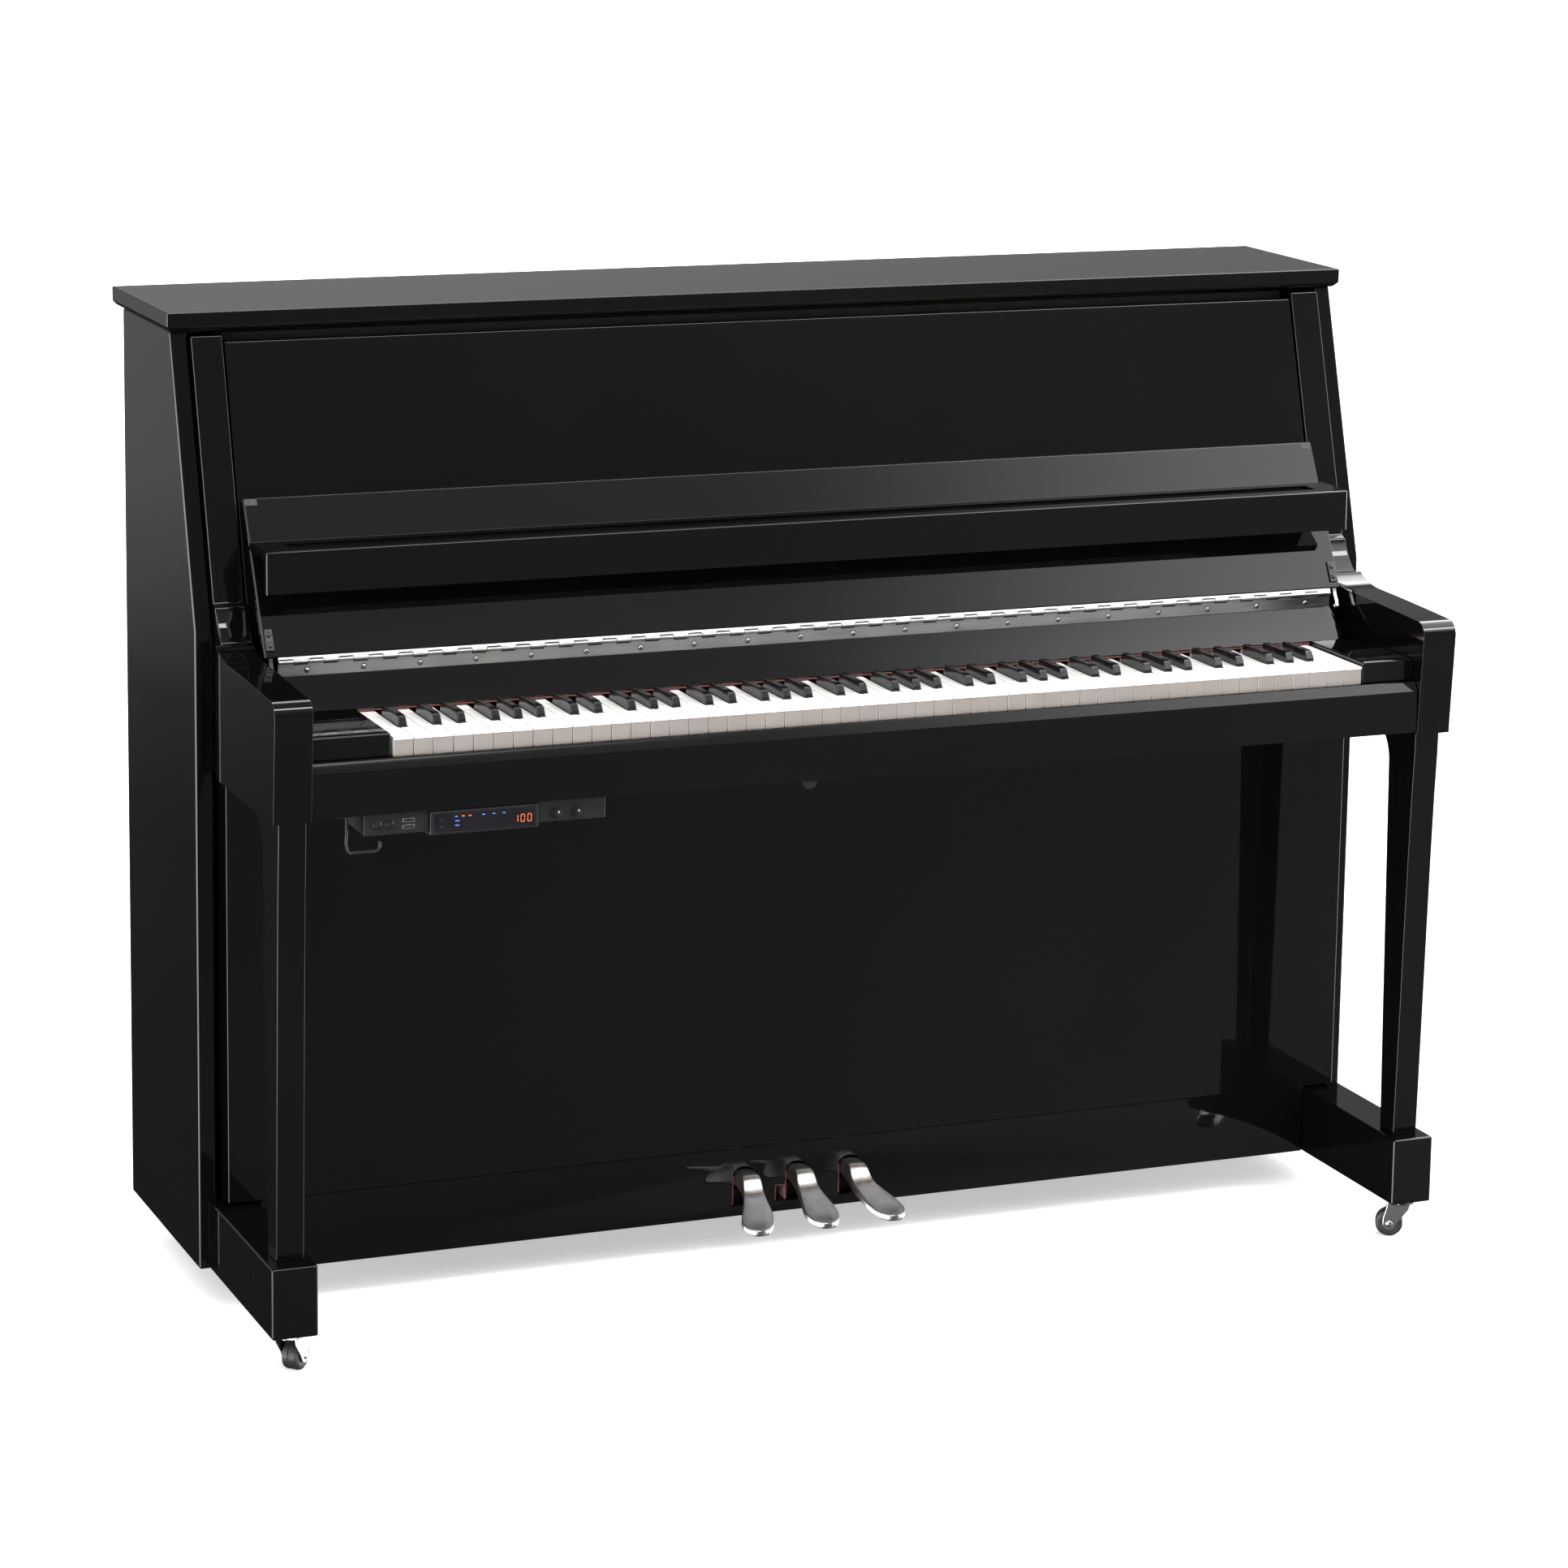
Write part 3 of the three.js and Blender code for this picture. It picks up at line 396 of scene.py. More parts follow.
for word, s in SIDES:
    lo, hi = mm_box("side_" + word)
    kink = hi[2] - 100 / CASE_LEAN
    outline = [(0, 48), (0, hi[2]), (-214, hi[2]), (-314, kink), (-314, 48)]
    side = build("side_panel_" + word, [prism_x(outline, lo[0], hi[0])], "case", bevel=2.4, segments=4,
                 **EBONY)
    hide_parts("side_" + word)

    upper = [p for p in COVE if p[0] > STILE_FRONT]
    outline = [(-191, CASE_TOP), (CASE_TOP_FRONT, CASE_TOP), (front_at(842), 842), *upper[1:],
               (STILE_FRONT, 789), (STILE_FRONT, 644.2), (-316, 644.2), (-316, 782), (-280, 842)]
    x0, x1 = mirrored(694.5, 731.6, s)
    post = build("front_post_" + word, [prism_x(outline, x0, x1)], "case", bevel=1.8, segments=3, **EBONY)
    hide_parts("pilaster_" + word)

    lower_arm = [p for p in COVE if p[0] < STILE_FRONT - 0.4]
    outline = [(-350, 644), (-350, lower_arm[0][1] + 0.6), *lower_arm,
               *curve3((-410, 787.8), (-480, 786.5), (-566, 783), 6), *arc(-572, 765, 18, 80, 176, 12),
               (-588, 735), (-585.5, 700), (-582, 644)]
    x0, x1 = mirrored(695, 739, s)
    arm = build("arm_block_" + word, [prism_x(outline, x0, x1)], "case", bevel=2.6, segments=4, **EBONY)
    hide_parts("arm_" + word)

    lead = [(-556, 131.8), (-559.5, 250), (-563, 380), (-566, 480), (-569, 560), (-572.6, 620),
            (-573, 643.7)]
    outline = [*lead, (-462, 643.7), *arc(-462, 594.7, 47, 90, 176, 16), (-512, 480), (-517, 300),
               (-522, 131.8)]
    x0, x1 = mirrored(698.5, 730.5, s)
    leg = build("front_leg_" + word, [prism_x(outline, x0, x1)], "case", bevel=2.6, segments=4, **EBONY)
    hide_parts("leg_" + word)

    lo, hi = mm_box("toe_block_" + word)
    foot = build("foot_" + word, [brick(lo, hi)], "case", bevel=2.6, segments=4, **EBONY)
    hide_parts("toe_block_" + word)

lo, hi = mm_box("lower_panel")
outline = [(-727, -345), (727, -345), (727, -290), (699, -290), (699, -325), (-699, -325), (-699, -290),
           (-727, -290)]
panel = build("knee_panel", [prism_z(outline, lo[2] - 2.7, hi[2])], "case", bevel=1.0, segments=3, **EBONY)
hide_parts("lower_panel")

PANEL_FOOT, PANEL_TOP = 800, 1131
corners = ((2, PANEL_TOP), (2, PANEL_FOOT), (20, PANEL_FOOT), (20, PANEL_TOP))
outline = [(front_at(z) + back, z) for back, z in corners]
panel = build("music_panel", [prism_x(outline, -692, 692)], "case", bevel=1.6, **EBONY)
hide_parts("upper_panel")

# The lid: a slab whose lower edge is chamfered on three sides.
lo, hi = mm_box("top_lid")


def lid_ring(z, inset):
    return [(lo[0] + inset, lo[1] + inset, z), (hi[0] - inset, lo[1] + inset, z),
            (hi[0] - inset, hi[1], z), (lo[0] + inset, hi[1], z)]


slab = loft([lid_ring(lo[2], 6), lid_ring(lo[2] + 6, 0), lid_ring(hi[2], 0)], "ebony")
lid = build("lid_slab", [slab], "top_lid", bevel=1.5, segments=4, **EBONY)
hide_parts("top_lid")
knuckles = [turned([(0, 3), (60, 3)], (x, 22.5, 1141), "x", "satin", 14) for x in (-600, -200, 140, 540)]
build("lid_hinges", knuckles, "case", bevel=0.4, slot="chrome")

# A near-black board of painted shade behind the gap between the upper panel and the lid stands for the dark
# hollow seen there.
build("gap_shade", [brick((-690, -204, 1112), (690, -196, 1139), "hole")], "case", bevel=1,
      slot="frame_wood")

# The toe rail and its three slots; the middle slot has a side notch where the pedal locks down.
PEDAL_X = (-81, -11.5, 58.5)
SLOT_HALF, SLOT_FOOT, SLOT_SHOULDER, SLOT_ROUND = 14, 61, 98, 12
LOCK_REACH, LOCK_TOP = 27.5, 82
slots = []
for i, x in enumerate(PEDAL_X):
    lock = [(x - LOCK_REACH, LOCK_TOP), (x - LOCK_REACH, SLOT_FOOT)] if i == 1 else []
    slots.append([(x + SLOT_HALF, SLOT_FOOT), (x + SLOT_HALF, SLOT_SHOULDER),
                  *arc(x + 2, SLOT_SHOULDER, SLOT_ROUND, 0, 90, 6),
                  *arc(x - 2, SLOT_SHOULDER, SLOT_ROUND, 90, 180, 6),
                  (x - SLOT_HALF, LOCK_TOP if i == 1 else SLOT_FOOT), *lock])
edge = [(-687, 48), (687, 48), (687, 135), (-687, 135)]
rail = plate_with_holes("toe_rail_board", [edge, *slots], "xz", -343, -318, "ebony", "case", bevel=1.2)
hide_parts("toe_rail")
linings = []
for x in PEDAL_X:
    linings.append(brick((x - 13.6, -341.5, 62), (x - 12.2, -320, 99), "red_felt"))
    linings.append(brick((x + 12.2, -341.5, 62), (x + 13.6, -320, 99), "red_felt"))
x = PEDAL_X[1]
linings.append(brick((x - 27, -341.5, 80.2), (x - 13, -320, 81.8), "red_felt"))
linings.append(brick((x - 27.2, -341.5, 62), (x - 25.8, -320, 80), "red_felt"))
build("slot_felts", linings, "case", bevel=0.4, slot="felt")

# ---------------------------------------------------------------- key bed, slip and blocks
lo, hi = mm_box("key_slip")
SLIP_ROUND = 2.6
top = hi[2] - 0.4
outline = [(hi[1], lo[2]), (hi[1], top), *arc(hi[1] - 1, top - SLIP_ROUND, SLIP_ROUND, 90, 140, 5),
           (-573.3, 707.25), (lo[1], 698), (lo[1], lo[2])]
slip = build("slip_rail", [prism_x(outline, lo[0], hi[0])], "case", **EBONY)
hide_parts("key_slip")
for word, s in SIDES:
    lo, hi = mm_box("key_block_" + word)
    nose = curve3((lo[1], hi[2] - 3), (lo[1] + 0.2, hi[2]), (lo[1] + 3, hi[2]), 6)
    outline = [(lo[1], lo[2]), (lo[1], hi[2] - 4), *nose, (hi[1], hi[2]), (hi[1], lo[2])]
    cheek = build("end_block_" + word, [prism_x(outline, lo[0], hi[0])], "case", bevel=1.6, **EBONY)
    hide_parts("key_block_" + word)
catch = [(-108, 645), *arc(-99, 645, 9, 180, 360, 14), (-90, 645)]
build("slip_catch", [prism_y(catch, -578, -570.5, "plastic")], "case", bevel=0.8, slot="dark_plastic")

bed = [brick((-694, -569.5, 647), (694, -120, 685), "rail_wood"),
       brick((-650, -350, 684.8), (650, -336, 697), "rail_wood"),
       brick((-650, -205, 684.8), (650, -185, 697), "rail_wood")]
piece = build("bed_and_rails", bed, "case", bevel=1.2, slot="frame_wood")
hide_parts("key_bed")

# ---------------------------------------------------------------- keys
KEY_COUNT, BASS_KEYS, SINGLE_KEYS = 88, 39, range(39, 49)
FIRST_NOTE = 9
KEYS_LEFT, PITCH, KEY_GAP = -596.0, 1220 / 52, 0.6
SHIFT = {1: -2.6, 3: 2.6, 6: -3.6, 8: 0.0, 10: 3.6}
NOTES = ("c", "c_sharp", "d", "d_sharp", "e", "f", "f_sharp", "g", "g_sharp", "a", "a_sharp", "b")
WHITE_BACK = -425.0
BLACK_BACK = -452.0
NOTCH = -519.0
BLACK_CLEARANCE = 6.2


def key_body(i, note, colour):
    if i in SINGLE_KEYS:
        return "key_%s4" % NOTES[note]
    return "%s_keys_%s" % (colour, "bass" if i < BASS_KEYS else "treble")


# Each key has its body and either its left and right edge (white) or its centre line (black).
keys = []
line = KEYS_LEFT
for i in range(KEY_COUNT):
    note = (FIRST_NOTE + i) % 12
    if note in SHIFT:
        keys.append(dict(black=True, body=key_body(i, note, "black"), c=line + SHIFT[note]))
    else:
        keys.append(dict(black=False, body=key_body(i, note, "white"), l=line + KEY_GAP,
                         r=line + PITCH - KEY_GAP))
        line += PITCH


def white_key(i):
    k = keys[i]
    tail_l, tail_r = k["l"], k["r"]
    if i > 0 and keys[i - 1]["black"]:
        tail_l = max(tail_l, keys[i - 1]["c"] + BLACK_CLEARANCE)
    if i < KEY_COUNT - 1 and keys[i + 1]["black"]:
        tail_r = min(tail_r, keys[i + 1]["c"] - BLACK_CLEARANCE)

    def plan(front, inset):
        l, r, tl, tr = k["l"] + inset, k["r"] - inset, tail_l + inset, tail_r - inset
        pts = [(l, front), (r, front), (r, NOTCH), (tr, NOTCH),
               (tr, WHITE_BACK), (tl, WHITE_BACK), (tl, NOTCH), (l, NOTCH)]
        return [p for n, p in enumerate(pts) if n == 0 or p != pts[n - 1]]

    mid = (tail_l + tail_r) / 2
    return [
        prism_z(plan(-568, 0), 727.3, 730, "white"),
        prism_z(plan(-566.2, 0.25), 708.2, 727.0, "white"),
        # The front face of the key, in the darker copy of the key white that paints its shade.
        brick((k["l"] + 0.25, -567.2, 708.4), (k["r"] - 0.25, -566.4, 727.1), "white_front_shaded"),
        brick((mid - 4.5, -562, 698.1), (mid + 4.5, -180, 708), "stick_wood"),
        brick((mid - 4.4, -424, 707.9), (mid + 4.4, -180.5, 716), "stick_wood"),
    ]


def black_key(i):
    c = keys[i]["c"]

    def section(y, half, top):
        return [(c - 5.2, y, 709), (c + 5.2, y, 709), (c + 5.2, y, 731), (c + half, y, top),
                (c - half, y, top), (c - 5.2, y, 731)]

    stations = ((-516, 4.9, 732.2), (-511.2, 4.6, 741.0), (-507, 4.5, 742), (BLACK_BACK, 4.5, 741.8))
    return [
        loft([section(*station) for station in stations], "black_key"),
        brick((c - 4.5, -512, 698.1), (c + 4.5, -180, 708.9), "stick_wood"),
        brick((c - 4.4, -451, 708.7), (c + 4.4, -180.5, 716), "stick_wood"),
    ]


for body in sorted({k["body"] for k in keys}):
    parts = []
    for i, k in enumerate(keys):
        if k["body"] == body:
            parts += black_key(i) if k["black"] else white_key(i)
    dark = "black" in body or "sharp" in body
    made = build("fine_" + body, parts, body, bevel=1.0 if dark else 0.55, segments=3 if dark else 2,
                 angle=24, slot="key_black" if dark else "key_white")
    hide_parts(body)

felt = [brick((-598, -431.5, 731.2), (626, -426, 732.8), "red_felt")]
build("key_back_felt", felt, "case", bevel=0.8, slot="felt")


# ---------------------------------------------------------------- nameboard, hinge and fallboard
def nameboard_section(x, rise):
    """rise lifts the lower front edge along the slope, for the rounded lower corners."""
    foot_y, foot_z = -431 + rise * 1.42, 735.5 + rise
    outline = [(-383.6, 781), (-383.8, 769.4), (-385.4, 767.4),
               (foot_y + 1.4, foot_z + 0.4), (foot_y, foot_z - 0.7), (foot_y + 0.6, foot_z - 2),
               (-374, 733.5 + rise * 0.1), (-374, 781)]
    return [(x, y, z) for y, z in outline]


ends = [(676, 12), (675.2, 6.5), (672.5, 3), (668, 0.8), (663, 0)]
stations = [(-x, rise) for x, rise in ends] + ends[::-1]
rings = [nameboard_section(x, rise) for x, rise in stations]
piece = build("nameboard_strip", [loft(rings, "ebony")], "case", angle=32, **EBONY)
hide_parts("nameboard")

HINGE_HALF, KNUCKLES = 676, 76
KNUCKLE = 2 * HINGE_HALF / KNUCKLES
LEAF_FACE = HINGE_Y + 1.3
leaf = [brick((-HINGE_HALF, LEAF_FACE, 767.2), (HINGE_HALF, HINGE_Y + 2.7, 782), "satin")]
fixed_knuckles, moving_knuckles = [], []
for i in range(KNUCKLES):
    x0 = -HINGE_HALF + i * KNUCKLE
    barrel = turned([(0.15, 1.7), (0.5, 2.25), (KNUCKLE - 0.5, 2.25), (KNUCKLE - 0.15, 1.7)], (x0, 0, 0),
                    "x", "satin", 14)
    if i % 2:
        moving_knuckles.append(barrel)
    else:
        fixed_knuckles.append(([(p[0], p[1] + HINGE_Y, p[2] + HINGE_Z) for p in barrel[0]], barrel[1],
                               barrel[2]))
piece = build("hinge_fixed_leaf", leaf + fixed_knuckles, "case", slot="chrome", angle=40)
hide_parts("fallboard_hinge")

# Each screw sits in a ring of painted shade, and the crossed slot in its head is two bars of painted shade.
SCREWS, SCREW_REACH, SCREW_Z = 20, 642, 773.6
screws = []
for i in range(SCREWS):
    x = -SCREW_REACH + i * (2 * SCREW_REACH / (SCREWS - 1))
    seat = (x, LEAF_FACE, SCREW_Z)
    screws.append(turned([(0, 3.5), (-0.12, 3.4), (-0.15, 2.4)], seat, "y", "hole", 18))
    screws.append(turned([(-0.1, 2.7), (-0.5, 2.5), (-1.0, 1.9), (-1.3, 1.0)], seat, "y", "screw", 16))
    screws.append(brick((x - 1.5, HINGE_Y - 0.15, SCREW_Z - 0.3), (x + 1.5, HINGE_Y + 0.1, SCREW_Z + 0.3),
                        "hole"))
    screws.append(brick((x - 0.3, HINGE_Y - 0.17, SCREW_Z - 1.5), (x + 0.3, HINGE_Y + 0.1, SCREW_Z + 1.5),
                        "hole"))

# Bars of painted shade on each leaf stand for the clearances where the knuckles of the other leaf turn;
# nothing is cut.
slits = []
for i in range(1, KNUCKLES, 2):
    x0 = -HINGE_HALF + i * KNUCKLE
    slits.append(brick((x0 + 0.3, HINGE_Y + 1.05, HINGE_Z - 4.0),
                       (x0 + KNUCKLE - 0.3, HINGE_Y + 1.4, HINGE_Z - 2.2), "hole"))
build("hinge_screws", screws + slits, "case", slot="chrome", angle=50)

moving_leaf = [brick((-HINGE_HALF, -1.7, 1.6), (HINGE_HALF, -0.6, 5.6), "satin")]
# Bars of painted shade on the moving leaf, where the knuckles of the fixed leaf turn.
for i in range(0, KNUCKLES, 2):
    x0 = -HINGE_HALF + i * KNUCKLE
    moving_leaf.append(brick((x0 + 0.3, -1.85, 1.8), (x0 + KNUCKLE - 0.3, -1.5, 3.2), "hole"))
build("hinge_moving_leaf", moving_leaf + moving_knuckles, "fallboard", place=BOARD, slot="chrome", angle=40)

board = [brick((-691, -0.2, 6), (691, 11.8, 198), "ebony")]
piece = build("fall_board", board, "fallboard", place=BOARD, bevel=1.8, segments=4, **EBONY)
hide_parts("fallboard")
bumpers = []
for s in (-1, 1):
    x0, x1 = mirrored(675, 689.5, s)
    bumpers.append(brick((x0, -0.45, 188.5), (x1, 3, 196.5), "rubber"))
build("fall_bumpers", bumpers, "fallboard", place=BOARD, bevel=0.2, segments=2, slot="dark_plastic")
# Behind the hinge a shelf and a low wall close the hollow that the shut fallboard would leave.
shelf = [(-371.5, 776), (-371.5, 781), (-304, 781), (-304, 812), (-298, 812), (-298, 776)]
build("shelf_behind_hinge", [prism_x(shelf, -690, 690)], "case", bevel=0.8, **EBONY)
stays = []
for s in (-1, 1):
    x0, x1 = mirrored(679, 688, s)
    stays.append(brick((x0, -3.0, 14), (x1, -0.1, 40), "dark_metal"))
    for z in (20, 33):
        seat = ((x0 + x1) / 2, -3.0, z)
        stays.append(turned([(0, 3), (-1.2, 2.6), (-1.8, 1.2)], seat, "y", "dark_metal", 14))
build("fall_end_plates", stays, "fallboard", place=BOARD, bevel=0.6, slot="chrome")
CATCH_PATH = ((-380.5, 790), (-383.5, 781), (-389, 772.5), (-392, 768))
levers = []
for s in (-1, 1):
    x = 684 * s
    rings = []
    for k, (y, z) in enumerate(CATCH_PATH):
        half = 2.6 - 0.3 * k
        rings.append([(x - half, y, z), (x + half, y, z), (x + half, y - 2.2, z + 0.6),
                      (x - half, y - 2.2, z + 0.6)])
    # The left catch is given dark metal as painted shade; the right one, its mirror, is chrome.
    metal = "chrome" if s > 0 else "dark_metal"
    levers.append(loft(rings, metal))
    levers.append(turned([(0, 4.2), (-1.6, 4.0), (-2.6, 2.6), (-3, 1.0)], (x, -389.5, 768), "y", metal, 18))
build("nameboard_catches", levers, "case", bevel=0.5, slot="chrome")


def ledge_section(depth, inset):
    """Section of the ledge; depth sinks the tray in its top, inset draws its front back."""
    top, front, nose = 5.0, inset - 66, 2.2
    return [(front, -44), (-55.8, -44), (-56, -5), (-2, -5), (3, -3.8), (5, 0), (3, 3.8), (0, top),
            (-0.6, top), (-17.8, top), (-18, top - depth), (-46, top - depth), (-46.2, top), (-63, top),
            *arc(front + nose, top - nose, nose, 90, 180, 6), (front, top - 2.8)]


half_ledge = ((691.5, 0, 1), (690.5, 0, 0), (657.6, 0, 0), (657.5, 3, 0))
stations = [(-x, depth, inset) for x, depth, inset in half_ledge] + list(half_ledge[::-1])
rings = [[(x, y, z) for y, z in ledge_section(depth, inset)] for x, depth, inset in stations]
piece = build("ledge_rail", [loft(rings, "ebony")], "music_ledge", place=LEDGE, bevel=1.5, segments=4,
              angle=38, **EBONY)
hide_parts("music_ledge")

# ---------------------------------------------------------------- pedals
# From the back to the tip: y, share of the sideways splay, half width, height of the top, of the underside.
STATIONS = (
    (-148, 0, 10.8, 104, 80), (-300, 0, 10.8, 104, 87), (-345, 0, 10.6, 105.5, 86.5),
    (-356, 0, 10.8, 106.6, 85), (-366, 0.01, 11.1, 106.4, 82.5), (-371, 0.02, 11.5, 105, 81),
    (-375, 0.04, 12, 101.5, 79.5), (-379, 0.07, 12.6, 96, 78), (-383, 0.11, 13.2, 91.5, 76.5),
    (-389, 0.17, 14.1, 87.8, 74.5), (-397, 0.28, 15.5, 85, 73), (-408, 0.43, 17.6, 81.5, 71),
    (-420, 0.6, 19.8, 77.8, 68.5), (-430, 0.78, 20.6, 74.6, 66), (-437, 0.88, 20.2, 72.5, 64.3),
    (-443, 0.93, 18.8, 71, 63), (-448.5, 0.97, 16.4, 69.8, 61.8), (-453, 1.0, 13.2, 69, 61),
    (-456.4, 1.0, 9.8, 68.4, 60.6), (-458.7, 1.0, 6.2, 67.9, 60.6), (-459.9, 1.0, 2.6, 67.3, 61),
)
SPLAY = (-20, -3, 14)


def pedal_ring(x, y, half, top, low):
    """One section of a pedal, rounded along its upper edges and slightly crowned."""
    r = min(2.6, half * 0.3)
    t = min(1.6, half * 0.2)
    pts = [(-half, low + t), (-half, top - r)]
    pts += [(-half + r * (1 - math.cos(a)), top - r + r * math.sin(a)) for a in (0.5, 1.0)]
    pts += [(-half + r, top), (-half * 0.35, top + 0.2), (half * 0.35, top + 0.2), (half - r, top)]
    pts += [(half - r * (1 - math.cos(a)), top - r + r * math.sin(a)) for a in (1.0, 0.5)]
    pts += [(half, top - r), (half, low + t), (half - t, low), (-half + t, low)]
    return [(x + u, y, v) for u, v in pts]


for i, word in enumerate(("left", "middle", "right")):
    rings = [pedal_ring(PEDAL_X[i] + SPLAY[i] * shift, y, *size) for y, shift, *size in STATIONS]
    piece = build("chrome_pedal_" + word, [loft(rings, "pedal")], "pedal_" + word, slot="chrome", angle=26)
    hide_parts("pedal_" + word)

# ---------------------------------------------------------------- casters
CASTERS = {"front_left": 45, "front_right": 151, "rear_left": -60, "rear_right": -105}
AXLE = (14, 0, 17)
for word, turn in CASTERS.items():
    j = [q for q in frame["joints"] if q["name"] == "caster_swivel_" + word][0]["pos_m"]
    place = Matrix.Translation((j[0], j[1], 0)) @ Matrix.Rotation(math.radians(turn), 4, "Z")
    cheek = [(-12, 46), (-9, 36), (2, 22), *arc(AXLE[0], AXLE[2], 8, 200, 345, 10),
             (21.5, 24), (17.5, 38), (16.5, 46)]
    rivet = [(-14.6, 0.4), (-14.2, 2.4), (-13.4, 3.9), (-12.9, 4.4), (12.9, 4.4), (13.4, 3.9), (14.2, 2.4),
             (14.6, 0.4)]
    fork = [prism_y(cheek, 11.2, 13, "chrome"), prism_y(cheek, -13, -11.2, "chrome"),
            brick((-15.5, -12.9, 44.2), (16.8, 12.9, 47.5), "chrome"),
            turned([(0, 14.5), (1.2, 15.4), (2.2, 15.4), (3, 13)], (0, 0, 41.6), "z", "chrome", 28),
            turned(rivet, AXLE, "y", "chrome", 24)]
    piece = build("fork_" + word, fork, "caster_fork_" + word, place=place, bevel=0.6, slot="chrome")
    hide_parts("caster_fork_" + word)
    tread = [(-10, 11.5), (-10, 14.2), (-8.8, 16.2), (-6.5, 17), (-2, 17), (-1.4, 16.4),
             (1.4, 16.4), (2, 17), (6.5, 17), (8.8, 16.2), (10, 14.2), (10, 11.5)]
    hub = [(-9.2, 5.2), (-8.4, 11.6), (8.4, 11.6), (9.2, 5.2)]
    wheel = [turned(tread, AXLE, "y", "rubber", 40), turned(hub, AXLE, "y", "dark_metal", 32)]
    piece = build("wheel_" + word, wheel, "caster_wheel_" + word, place=place, slot="caster_tread",
                  angle=35)
    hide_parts("caster_wheel_" + word)

# ---------------------------------------------------------------- control unit and headphone hanger
UNIT_BACK, UNIT_TOP = -500, 646.6
low_section = [(-575, 621.5), (-575, UNIT_TOP), (UNIT_BACK, UNIT_TOP), (UNIT_BACK, 623.5)]
tall_section = [(-579, 618.5), (-579, 644), (-576.5, UNIT_TOP), (UNIT_BACK, UNIT_TOP), (UNIT_BACK, 617),
                (-577.5, 617)]
unit = [
    prism_x(low_section, -633, -557.2, "plastic"),
    prism_x(tall_section, -557, -429.5, "plastic"),
    prism_x(low_section, -429.3, -348, "plastic"),
]
piece = build("unit_case", unit, "case", bevel=1.0, slot="dark_plastic")
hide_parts("control_unit")
detail = [brick((-553, -579.3, 620.5), (-432.5, -578.8, 642.5), "plastic_gloss")]
# Two jacks and two ports, whose openings are discs and plates of painted shade.
for x in (-618, -604):
    detail.append(turned([(0, 5.6), (-1.2, 5.3), (-1.6, 4.4), (-1.2, 3.4)], (x, -575, 634), "y",
                         "plastic_gloss", 24))
    detail.append(turned([(0, 3.3), (-1.25, 3.2)], (x, -575, 634), "y", "hole", 20))
for z in (627, 634.5):
    detail.append(brick((-588, -575.5, z), (-574, -574.8, z + 4.6), "steel"))
    detail.append(brick((-587, -575.7, z + 0.9), (-575, -574.9, z + 3.7), "hole"))

# The display: digits made of bars a to f, each with its place, width and height.
BARS = (("a", 0.5, 8.4, 3.6, 0.5), ("b", 4.2, 4.8, 0.5, 3.4), ("c", 4.2, 0.6, 0.5, 3.4),
        ("d", 0.5, 0, 3.6, 0.5), ("e", 0, 0.6, 0.5, 3.4), ("f", 0, 4.8, 0.5, 3.4))
for k, lit in enumerate(("bc", "abcdef", "abcdef")):
    x, z = -458.5 + k * 8, 625.5
    for bar, lo_x, lo_z, wide, tall in BARS:
        if bar in lit:
            detail.append(brick((x + lo_x, -579.5, z + lo_z), (x + lo_x + wide, -579.2, z + lo_z + tall),
                                "red_light"))
for k, x in enumerate((-528, -520, -512, -496, -484, -472)):
    detail.append(brick((x, -579.5, 637.2), (x + 3.2, -579.2, 638.1),
                        "red_light" if k in (1, 2) else "blue_light"))
for z in (632, 627):
    detail.append(brick((-528, -579.5, z), (-523, -579.2, z + 0.9), "blue_light"))
for z in (627, 634):
    detail.append(turned([(0, 1.6), (-0.5, 1.4), (-0.7, 0.8)], (-544, -579.2, z), "y", "plastic", 16))
build("unit_details", detail, "case", bevel=0.15, segments=1, slot="dark_plastic")

KNOB_Z, KNOB_RIBS, RIB_RADIUS = 632, 14, 4.75
KNOB_PROFILE = ((0, 5.5), (-1.6, 5.5), (-2.2, 4.9), (-7.6, 4.6), (-8.6, 4.1), (-8.9, 2.5))
for name, x in (("volume_knob", -407), ("brightness_knob", -383)):
    knob = [turned(KNOB_PROFILE, (x, -575.4, KNOB_Z), "y", "plastic", 28),
            brick((x - 0.35, -584.35, KNOB_Z + 1.2), (x + 0.35, -583.4, KNOB_Z + 3.8), "white")]
    for k in range(KNOB_RIBS):
        a = 2 * math.pi * k / KNOB_RIBS
        cx, cz = x + RIB_RADIUS * math.cos(a), KNOB_Z + RIB_RADIUS * math.sin(a)
        knob.append(turned([(0, 0.45), (-5, 0.4)], (cx, -578, cz), "y", "plastic", 6))
    piece = build("turning_" + name, knob, name, slot="dark_plastic", angle=45)
    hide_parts(name)


def wire(name, path, radius, material, body):
    """A round wire bent smoothly through the points of its path."""
    curve = bpy.data.curves.new(name, "CURVE")
    curve.dimensions = "3D"
    s = curve.splines.new("BEZIER")
    s.bezier_points.add(len(path) - 1)
    for point, p in zip(s.bezier_points, path):
        point.co = P(*p)
        point.handle_left_type = point.handle_right_type = "AUTO"
    curve.bevel_depth = radius / 1000
    curve.bevel_resolution = 4
    curve.use_fill_caps = True
    tool = bpy.data.objects.new(name + "_path", curve)
    bpy.context.scene.collection.objects.link(tool)
    bpy.context.view_layer.update()
    mesh = bpy.data.meshes.new_from_object(tool.evaluated_get(bpy.context.evaluated_depsgraph_get()))
    bpy.data.objects.remove(tool)
    mesh.materials.clear()
    mesh.materials.append(MAT[material])
    return finish_piece(bpy.data.objects.new(name, mesh), body, angle=60)


